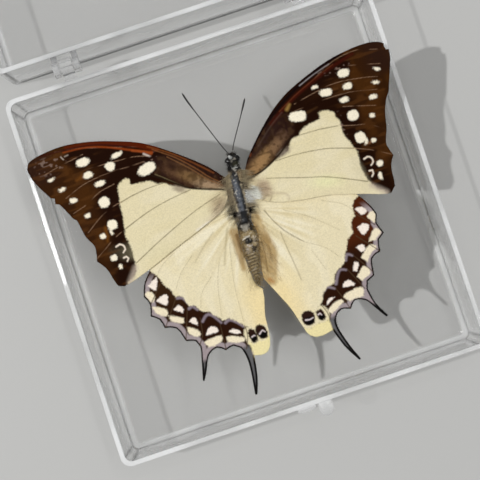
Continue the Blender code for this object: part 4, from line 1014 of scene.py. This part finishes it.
def paintHindwing(side):
    marks = hindwingMarks[side]

    def paint(p, outline):
        margin = -regionDistance(p, outline)
        art = Painting(p, marks["borderTone"], 15 if side == "left" else 16)
        art.lay(marks["topTone"], 0.9 * fade(-17, -12, p[:, 1]))
        # outer line, lilac-grey edging, then the pale blocks and triangles between the veins
        border = fade(-4, -7, p[:, 1])
        art.lay("#a79a9c", 0.9 * border * fade(0.25, 0.45, margin) * fade(1.7, 1.2, margin))
        for block in marks["blocks"]:
            art.shape("#efe2c4", block, soft=0.25, rough=0.8)
        for triangle in marks["triangles"]:
            art.shape("#f6e9dc", triangle, soft=0.2, rough=0.8)
        for arc in marks["arcs"]:
            art.line("#8f828a", arc, 0.75, 0.55, soft=0.25, strength=0.85)
        for x, y, width, height, tilt in marks["eyespots"]:
            art.spot("#e5d9b5", x, y, width + 2.2, height + 1.6, tilt, soft=0.3)
        art.shape("#ecdfa8", marks["lobe"], soft=0.35)
        # a black line round the margin, but not round the yellow lobe
        outer = fade(9.0, 9.6, np.abs(p[:, 0] - (0.0 if side == "left" else 3.0)))
        art.lay("#15100e", fade(0.42, 0.28, margin + art.grain * 0.2) * border * outer)
        # tails: black with a slate centre
        tail = fade(-29.5, -31, p[:, 1]) * outer
        art.lay("#131110", tail)
        art.lay("#6d6c6d", tail * 0.8 * fade(0.45, 0.6, margin))
        for route in marks["borderVeins"]:
            art.line("#4b3a28", route, 0.28, 0.2, strength=0.8, ridge=0.07)
        # the cream field
        art.shape("#e5d9b5", marks["inside"], soft=0.22, rough=1.2, smooth=False)
        inside = fade(0.3, -0.3, regionDistance(p, marks["inside"]))
        art.lay("#ece2c4", 0.5 * inside * fade(0.4, 0.8, mottle(p * np.array((1, 0.4)), 2.0, 41)))
        art.lay("#efd9a0", 0.8 * inside * fade(11, 3, np.abs(p[:, 0])) * fade(-8, -20, p[:, 1]))
        # painted shade and light of the folds between the veins: darker and paler streaks that run from the
        # root
        reach = np.hypot(p[:, 0], p[:, 1] - 4)
        turn = np.degrees(np.arctan2(p[:, 0], 4 - p[:, 1]))
        pleatShading = mottle(np.column_stack((turn / 3.2, reach / 16)), 1.0, 43)
        art.lay("#c9b684", 0.45 * inside * fade(0.55, 0.9, pleatShading) * fade(26, 8, reach))
        art.lay("#f6efd8", 0.5 * inside * fade(0.45, 0.1, pleatShading) * fade(30, 10, reach))
        art.shape("#b0925f", marks["fold"], soft=0.7, strength=0.85)
        inFold = fade(0.6, -0.6, regionDistance(p, marks["fold"]))
        art.lay("#8f6f3e", 0.5 * inFold * fade(0.5, 0.85, mottle(p * np.array((1, 0.25)), 0.8, 44)))
        art.lay("#d8c292", 0.5 * inFold * fade(0.45, 0.15, mottle(p * np.array((1, 0.25)), 0.9, 45)))
        for stroke in marks["strokes"]:
            art.line(*stroke)
        for route in marks["veins"]:
            art.line("#8f8260", route, 0.13, 0.1, strength=0.55, ridge=0.06)
        # two eyespots: brown above, black below, a pale line between
        for x, y, width, height, tilt in marks["eyespots"]:
            art.spot("#2a1812", x, y, width, height, tilt, soft=0.2)
            art.spot("#0a0808", x + 0.1, y - height * 0.2, width * 0.75, height * 0.5, tilt, soft=0.25)
        for glint in marks["glints"]:
            art.line("#cfc2c2", glint, 0.42, 0.3, soft=0.12)
        art.relief += 0.14 * (mottle(p, 5.0, 51) - 0.5) + 0.03 * (mottle(p, 1.3, 52) - 0.5)
        return art
    return paint


scaleFinish = {"roughness": 0.62, "gloss": 0.02, "speckleMm": 0.35, "speckle": (0.9, 1.08), "rowMm": 0.3,
               "rowStrength": 0.25, "rowDepth": 0.00005}


def scaleMaterial(name):
    # matt scales: the painted colour, finely speckled, with rows of scales in the relief, drawn
    # three times as coarse as real ones so that they show
    material, tree, shader = newMaterial(name)
    place = addNode(tree, "ShaderNodeTexCoord")
    painted = addNode(tree, "ShaderNodeAttribute", attribute_name="scaleColour")
    finish = scaleFinish
    speckle = addNode(tree, "ShaderNodeTexNoise", {"Scale": 1000 / finish["speckleMm"], "Detail": 3.0},
                      {"Vector": place.outputs["Object"]})
    dark, light = finish["speckle"]
    level = addNode(tree, "ShaderNodeMapRange", {"From Min": 0.3, "From Max": 0.7, "To Min": dark,
                                                 "To Max": light}, {"Value": speckle})
    toned = addNode(tree, "ShaderNodeVectorMath", links={0: painted, 1: level}, operation="MULTIPLY")
    rows = addNode(tree, "ShaderNodeTexVoronoi", {"Scale": 1000 / finish["rowMm"]},
                   {"Vector": place.outputs["Object"]})
    bump = addNode(tree, "ShaderNodeBump", {"Strength": finish["rowStrength"],
                                            "Distance": finish["rowDepth"]}, {"Height": rows})
    setSockets(tree, shader, {"Roughness": finish["roughness"], "Specular IOR Level": finish["gloss"]},
               {"Base Color": toned, "Normal": bump})
    return material


forewingScales = scaleMaterial("brownAndCreamForewingScales")
hindwingScales = scaleMaterial("creamHindwingScales")
for side in ("left", "right"):
    makeWing(side + "_hindwing", hindwingHeight, paintHindwing(side), hindwingScales)
    makeWing(side + "_forewing", forewingHeight, paintForewing(side), forewingScales)


# ---- body and antennae
bodySizes = {"voxel": 0.13, "lump": 0.42, "ringMm": 0.8, "ringDepth": 0.16,
             "hairsPerSquareMm": 26.0, "hairThickness": 0.55,
             "eyes": ((0.5, 16.4, 32.15), (2.8, 16.4, 32.15)), "eyeRadius": 0.95}
bodyMarks = {
    "washes": [("#15110f", 1.6, 15.6, 4.6, 4.6, 0, 0.3, 1),
        ("#b8a888", -0.9, 11.9, 1.3, 3.2, 0, 0.4, 0.9), ("#917b5c", 2.1, 11.7, 1.5, 2.4, 0, 0.4, 0.9),
        ("#3e3c20", 2, 15, 1.3, 1, 0, 0.3, 0.8), ("#8a7362", -0.3, 15.2, 0.6, 0.4, 20, 0.15, 0.8),
        # painted highlights: the pale grey dabs at (0.35, 16.3) and (1.2, 17.1) are glints on the head
        ("#c9cbc6", 0.35, 16.3, 0.6, 0.5, 30, 0.15, 0.95),
        ("#d4d6d2", 1.2, 17.1, 0.9, 0.7, -30, 0.2, 0.95), ("#b4aa9a", 3.2, 13.6, 0.4, 0.7, 0, 0.15, 0.8),
        ("#5a5650", -1.1, 3, 1.9, 3.6, 0, 0.4, 0.9), ("#0d0b0a", -2.1, 7.7, 1.6, 3.6, 0, 0.3, 0.95),
        ("#14110e", 2.4, 7.4, 1, 3.8, 0, 0.3, 0.95), ("#14110e", 3, 2.8, 1.8, 2.2, 0, 0.3, 0.95),
        ("#14110e", -3, 2.8, 1.8, 2.2, 0, 0.3, 0.95), ("#0d0b0a", -0.2, 0.3, 2.6, 1.3, 20, 0.3, 1),
        ("#9a958a", -0.9, -1.4, 1.9, 1.7, 0, 0.4, 0.9), ("#120e0c", -2, -1.3, 0.8, 1.5, 0, 0.2, 0.95),
        ("#120e0c", 0.8, -1.9, 1.2, 1.9, 20, 0.2, 0.95), ("#0c0a09", -1, -4.6, 2.1, 1.8, 0, 0.25, 1),
        ("#c9bfae", 0.7, -4.9, 0.9, 1.8, -30, 0.3, 0.8), ("#2c1b14", 1.2, -6.3, 1.3, 2, 0, 0.25, 0.95),
        ("#1c1512", -0.3, -7, 1.2, 1.3, 0, 0.25, 0.9), ("#a59a8c", -1.9, -6.8, 1.1, 1.8, 0, 0.4, 0.7),
        ("#4f3f28", -2.2, -15.4, 2.4, 2.6, 0, 0.5, 0.9)],
    "strokes": [
        ("#17181b", [(0.7, 12), (0.5, 8), (0.3, 5), (-0.2, 0.8)], 2.1, 1.6, 0.3, 1),
        # painted highlight: the next two slate-grey lines on the black back stripe stand for its gloss
        ("#4a4f58", [(0.3, 10.8), (0.2, 7), (0, 3.4)], 1.2, 0.9, 0.3, 0.85),
        ("#2f343b", [(1, 9.6), (0.9, 5.5)], 0.4, 0.3, 0.2, 0.8),
        ("#c3b595", [(-1.1, 11), (-1.3, 7), (-1.3, 3.4)], 0.65, 0.5, 0.25, 0.9),
        ("#a89a7c", [(1.7, 9.5), (1.6, 5), (1.3, 2)], 0.5, 0.45, 0.25, 0.8),
        ("#dcdcd4", [(0.9, 14.15), (2.1, 14)], 0.35, 0.25, 0.12, 0.95),
        ("#d8d2c4", [(-2.4, -4), (-1.4, -3.6), (-0.4, -3.6)], 0.4, 0.35, 0.15, 0.95),
        ("#efe3d6", [(-1.8, -5.6), (-1, -6.1), (-0.3, -6)], 0.45, 0.35, 0.15, 0.95),
    ],
}


def skinOf(node, voxel):
    # an even skin over a solid, from a merged copy of its mesh
    name = node + "Copy"
    shell = addObject(name, meshFrom(mergedCopy(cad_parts[node].data), name))
    even = shell.modifiers.new("even", "REMESH")
    even.mode, even.voxel_size = "VOXEL", voxel * mm
    done = finished(shell)
    bpy.data.objects.remove(shell)
    return done


def positions(mesh, field="co"):
    flat = np.zeros(len(mesh.vertices) * 3)
    mesh.vertices.foreach_get(field, flat)
    return flat.reshape(-1, 3)


bodyMesh = skinOf("body", bodySizes["voxel"])
p, normals = positions(bodyMesh) / mm, positions(bodyMesh, "normal")
across = np.column_stack((p[:, 2], p[:, 1]))
lumps = mottle(p[:, :2], 0.55, 61) + mottle(across, 0.5, 62) - 1.0
eyes = np.min([np.linalg.norm(p - np.array(c), axis=1) for c in bodySizes["eyes"]], axis=0)
onEye = fade(bodySizes["eyeRadius"] + 0.15, bodySizes["eyeRadius"], eyes)
bands = 0.5 + 0.5 * np.sin(p[:, 1] * 2 * math.pi / bodySizes["ringMm"])
belly = fade(-0.5, -2.0, p[:, 1])
back = fade(1.3, 0.8, routeDistance(p[:, :2], smoothRoute([(0.6, 11), (-0.1, 1)]))[0])
waist = fade(0.8, 0.0, p[:, 1]) * fade(-8.2, -7.2, p[:, 1])
middle = np.interp(p[:, 1], (-16, -7, 1, 6, 12, 18), (-2.1, -1.0, -0.4, 0.3, 1.0, 1.8))
raised = lumps * bodySizes["lump"] * (1 - onEye) * (1 - 0.75 * back) * (1 + 0.9 * waist)
raised -= bodySizes["ringDepth"] * bands * belly
bodyMesh.vertices.foreach_set("co", ((p + normals * raised[:, None]) * mm).ravel())
art = Painting(p[:, :2], "#3b332a", 63)
art.lay("#9a8762", belly)
art.lay("#3d2f20", belly * 0.8 * bands * fade(-7.0, -8.0, p[:, 1]))
for wash in bodyMarks["washes"]:
    art.spot(*wash)
for stroke in bodyMarks["strokes"]:
    art.line(*stroke)
art.lay("#0a0908", 0.5 * fade(0.55, 0.85, mottle(p[:, :2], 0.5, 64)) * (1 - 0.5 * belly))
art.lay("#cfc8ba", 0.4 * fade(0.72, 0.9, mottle(p[:, :2], 0.4, 65)))
art.lay("#0a0807", onEye)
# painted shade: the underside of the body, below 30.6 mm, is laid darker
art.lay("#1a1511", fade(30.6, 29.6, p[:, 2]) * 0.8)
setAttribute(bodyMesh, "scaleColour", "FLOAT_COLOR", "POINT", art.colour)
setAttribute(bodyMesh, "shine", "FLOAT", "POINT", np.maximum(onEye, back * 0.7))

# where it is hairy: collar, flanks of the thorax, waist and tip
side = np.sign(p[:, 0] - middle)
flank = fade(0.9, 1.4, np.abs(p[:, 0] - middle))
thorax = fade(0.3, 1.2, p[:, 1]) * fade(13.6, 12.6, p[:, 1])
head = fade(13.4, 14.0, p[:, 1]) * (1 - onEye)
collar = fade(9.8, 10.6, p[:, 1]) * fade(13.8, 13.2, p[:, 1]) * fade(0.5, 0.9, np.abs(p[:, 0] - middle))
tuft = fade(1.1, 0.4, np.abs(p[:, 1] - 2.8)) * flank
tip = fade(-13.0, -14.0, p[:, 1])
hairy = np.clip(0.2 + 0.9 * thorax * flank + 0.8 * head + 0.8 * collar + 0.3 * belly + 0.5 * tip, 0, 1)
hairy *= 1 - 0.75 * waist * fade(1.6, 1.2, np.abs(p[:, 0] - middle))
fringe = fade(0.75, 0.35, np.abs(normals[:, 2])) * belly
hairy = np.clip(hairy + 0.9 * fringe, 0, 1)
hairy *= np.maximum(fade(-0.9, 0.1, normals[:, 2]) * 0.8 + 0.2, fringe)
hairy *= 1 - 0.9 * back
clumps = 0.5 + 1.0 * mottle(p[:, :2], 0.9, 67)
long = (0.6 + 1.5 * thorax * flank + 0.5 * collar + 0.3 * tuft + 0.9 * tip + 0.1 * head
        + 0.5 * fringe) * clumps
leans = np.column_stack((side * (0.2 + 1.3 * flank * thorax + 1.4 * fringe),
                         -1.0 + 1.5 * head + 0.6 * tuft,
                         0.15 + 0.5 * collar + 0.2 * head))
whiteFluff = flank * (side > 0) * fade(4.4, 5.4, p[:, 1]) * fade(8.4, 7.4, p[:, 1])
hairTones = art.colour.copy()
for colour, mask in (("#b3a488", thorax * flank * fade(0.30, 0.5, mottle(p[:, :2], 1.3, 66)) * 0.85),
                     ("#c2b290", collar * 0.8), ("#15110e", tuft), ("#97804c", tip * 0.7),
                     ("#c0ae86", belly * 0.45), ("#a88c5c", fringe * 0.8), ("#fbfbf6", whiteFluff)):
    hairTones += (np.array(linear(colour)) - hairTones) * mask[:, None]
describeHair(bodyMesh, "POINT", hairy, long, leans, hairTones)
growHair("body_hair", bodyMesh.copy(), bodySizes["hairsPerSquareMm"], bodySizes["hairThickness"], 9)

# Chitin with short scales: dull where scaly, glossy on the eyes and on the back, worn bare of hair.
chitin, tree, shader = newMaterial("scalyChitinBody")
painted = addNode(tree, "ShaderNodeAttribute", attribute_name="scaleColour")
glossy = addNode(tree, "ShaderNodeAttribute", attribute_name="shine")
rough = addNode(tree, "ShaderNodeMapRange", {"To Min": 0.7, "To Max": 0.22},
                {"Value": glossy.outputs["Fac"]})
place = addNode(tree, "ShaderNodeTexCoord")
scales = addNode(tree, "ShaderNodeTexVoronoi", {"Scale": 1000 / 0.18},
                 {"Vector": place.outputs["Object"]})
bump = addNode(tree, "ShaderNodeBump", {"Strength": 0.5, "Distance": 0.00008}, {"Height": scales})
setSockets(tree, shader, {}, {"Base Color": painted, "Roughness": rough, "Normal": bump})
bodyMesh.shade_smooth()
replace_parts(addPiece("body_skin", bodyMesh, chitin, "case"), "body")

antennaSizes = {"ring": 0.42, "step": 0.07, "sides": 12, "shaft": 0.13, "club": 0.24,
                "left": [(0.95, 18.55, 33), (0, 20.8, 33.6), (-2.2, 27, 34.6), (-4.3, 33, 35.4),
                         (-5.2, 36.2, 35.8)],
                "right": [(2.5, 18.6, 33), (3.6, 20.6, 33.4), (6.6, 25.2, 34.2), (9.6, 30, 34.9)]}


def makeAntenna(side):
    # a shaft of short rings that swells to a slim club
    sizes = antennaSizes
    route = smoothRoute(sizes[side], sizes["step"])
    count = len(route)
    rows, tones = [], []
    for i, at in enumerate(route):
        t, way = i / (count - 1), (route[min(i + 1, count - 1)] - route[max(i - 1, 0)]).normalized()
        ring = (i * sizes["step"] / sizes["ring"]) % 1.0
        swell = float(fade(0.66, 0.86, np.array(t)))
        radius = sizes["shaft"] + (sizes["club"] - sizes["shaft"]) * swell
        radius *= (1 - 0.16 * abs(2 * ring - 1) ** 4) * math.sqrt(max(0.05, min(1.0, (1 - t) * 22)))
        a = way.cross(Vector((0, 0, 1))).normalized()
        b = way.cross(a)
        rows.append([at + (a * math.cos(k) + b * math.sin(k)) * radius
                     for k in (j / sizes["sides"] * 2 * math.pi for j in range(sizes["sides"]))])
        shade = 0.5 * abs(2 * ring - 1) ** 3
        tones.append(np.array(linear("#100e0d")) * (1 - shade) + np.array(linear("#4a4038")) * shade)
    name = side + "_antenna_rings"
    mesh = meshFrom(closedLoft(rows), name)
    setAttribute(mesh, "scaleColour", "FLOAT_COLOR", "POINT", np.repeat(tones, sizes["sides"], axis=0))
    mesh.shade_smooth()
    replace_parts(addPiece(name, mesh, antennaHorn, "case"), side + "_antenna")


# Dark horn: satin black segments with paler joints.
antennaHorn, tree, shader = newMaterial("blackAntennaHorn")
painted = addNode(tree, "ShaderNodeAttribute", attribute_name="scaleColour")
setSockets(tree, shader, {"Roughness": 0.42}, {"Base Color": painted})
makeAntenna("left")
makeAntenna("right")
print("body done")


# ---- camera, floor and light
cameraSizes = {"placeMm": (-3.756, -9.757, 339.336), "turn": (2.11689, -0.60286, -18.55090),
               "lens": 90.0, "shift": (-0.036164, -0.044677)}
cameraData = bpy.data.cameras.new("camera")
cameraData.lens = cameraSizes["lens"]
cameraData.sensor_width = 36.0
cameraData.shift_x, cameraData.shift_y = cameraSizes["shift"]
cameraData.clip_start = 0.01
camera = addObject("camera", cameraData)
camera.location = Vector(cameraSizes["placeMm"]) * mm
camera.rotation_euler = Euler([math.radians(a) for a in cameraSizes["turn"]])
bpy.context.scene.camera = camera

floorMesh = bpy.data.meshes.new("table")
floorMesh.from_pydata([(x, y, -0.0001) for x, y in ((-3, -3), (3, -3), (3, 3), (-3, 3))], [],
                      [(0, 1, 2, 3)])
floor = addObject("table", floorMesh)
tableTop, tree, shader = newMaterial("palePaintedTable")
setSockets(tree, shader, {"Base Color": linear("#c1c1bf"), "Roughness": 0.8}, {})
floorMesh.materials.append(tableTop)


# Place in mm, size in mm and watts. The small lamp aims at the box from the upper left, and the
# rest hang straight above their places: a soft panel over the right side, and narrow softboxes
# that the rims mirror and the floor of the tray does not.
lights = {"keyLamp": ((-515, 96, 880), (22,), 4.6), "overheadPanel": ((180, 25, 1000), (290, 480), 1.35),
          "rightStrip": ((236, 30, 1000), (56, 430), 1.5), "leftStrip": ((-212, 92, 1000), (50, 120), 0.34),
          "frontStrip": ((150, -187, 1000), (116, 28), 0.24),
          "backStrip": ((102, 245, 1000), (132, 30), 0.3)}
for name, (place, size, power) in lights.items():
    light = bpy.data.lights.new(name, "AREA")
    light.shape = "RECTANGLE" if len(size) > 1 else "DISK"
    light.size = size[0] * mm
    if len(size) > 1:
        light.size_y = size[1] * mm
    light.energy = power
    lamp = addObject(name, light)
    lamp.location = Vector(place) * mm
    target = (place[0], place[1], 0) if len(size) > 1 else (0, 0, 0)
    lamp.rotation_euler = (Vector(target) - Vector(place)).to_track_quat("-Z", "Y").to_euler()
    if name == "overheadPanel":  # too diffuse for the plastic to mirror
        lamp.visible_glossy = lamp.visible_transmission = False
# the room: lighter towards its walls than overhead
roomLevels = ((0.0, 0.2), (0.4, 0.22), (0.5, 0.38), (0.72, 0.38), (0.85, 0.12), (1.0, 0.1))
world = bpy.data.worlds.new("dimRoom")
bpy.context.scene.world = world
world.use_nodes = True
tree = world.node_tree
direction = addNode(tree, "ShaderNodeTexCoord")
upward = addNode(tree, "ShaderNodeSeparateXYZ", links={"Vector": direction.outputs["Generated"]})
room = addNode(tree, "ShaderNodeValToRGB", links={"Fac": upward.outputs["Z"]})
stops = room.color_ramp.elements
for place, level in roomLevels:
    stop = stops.new(place) if 0 < place < 1 else stops[-1 if place else 0]
    stop.color = (level, level, level, 1)
setSockets(tree, tree.nodes["Background"], {}, {"Color": room})
bpy.context.scene.view_settings.view_transform = "Standard"
print("camera and light done")
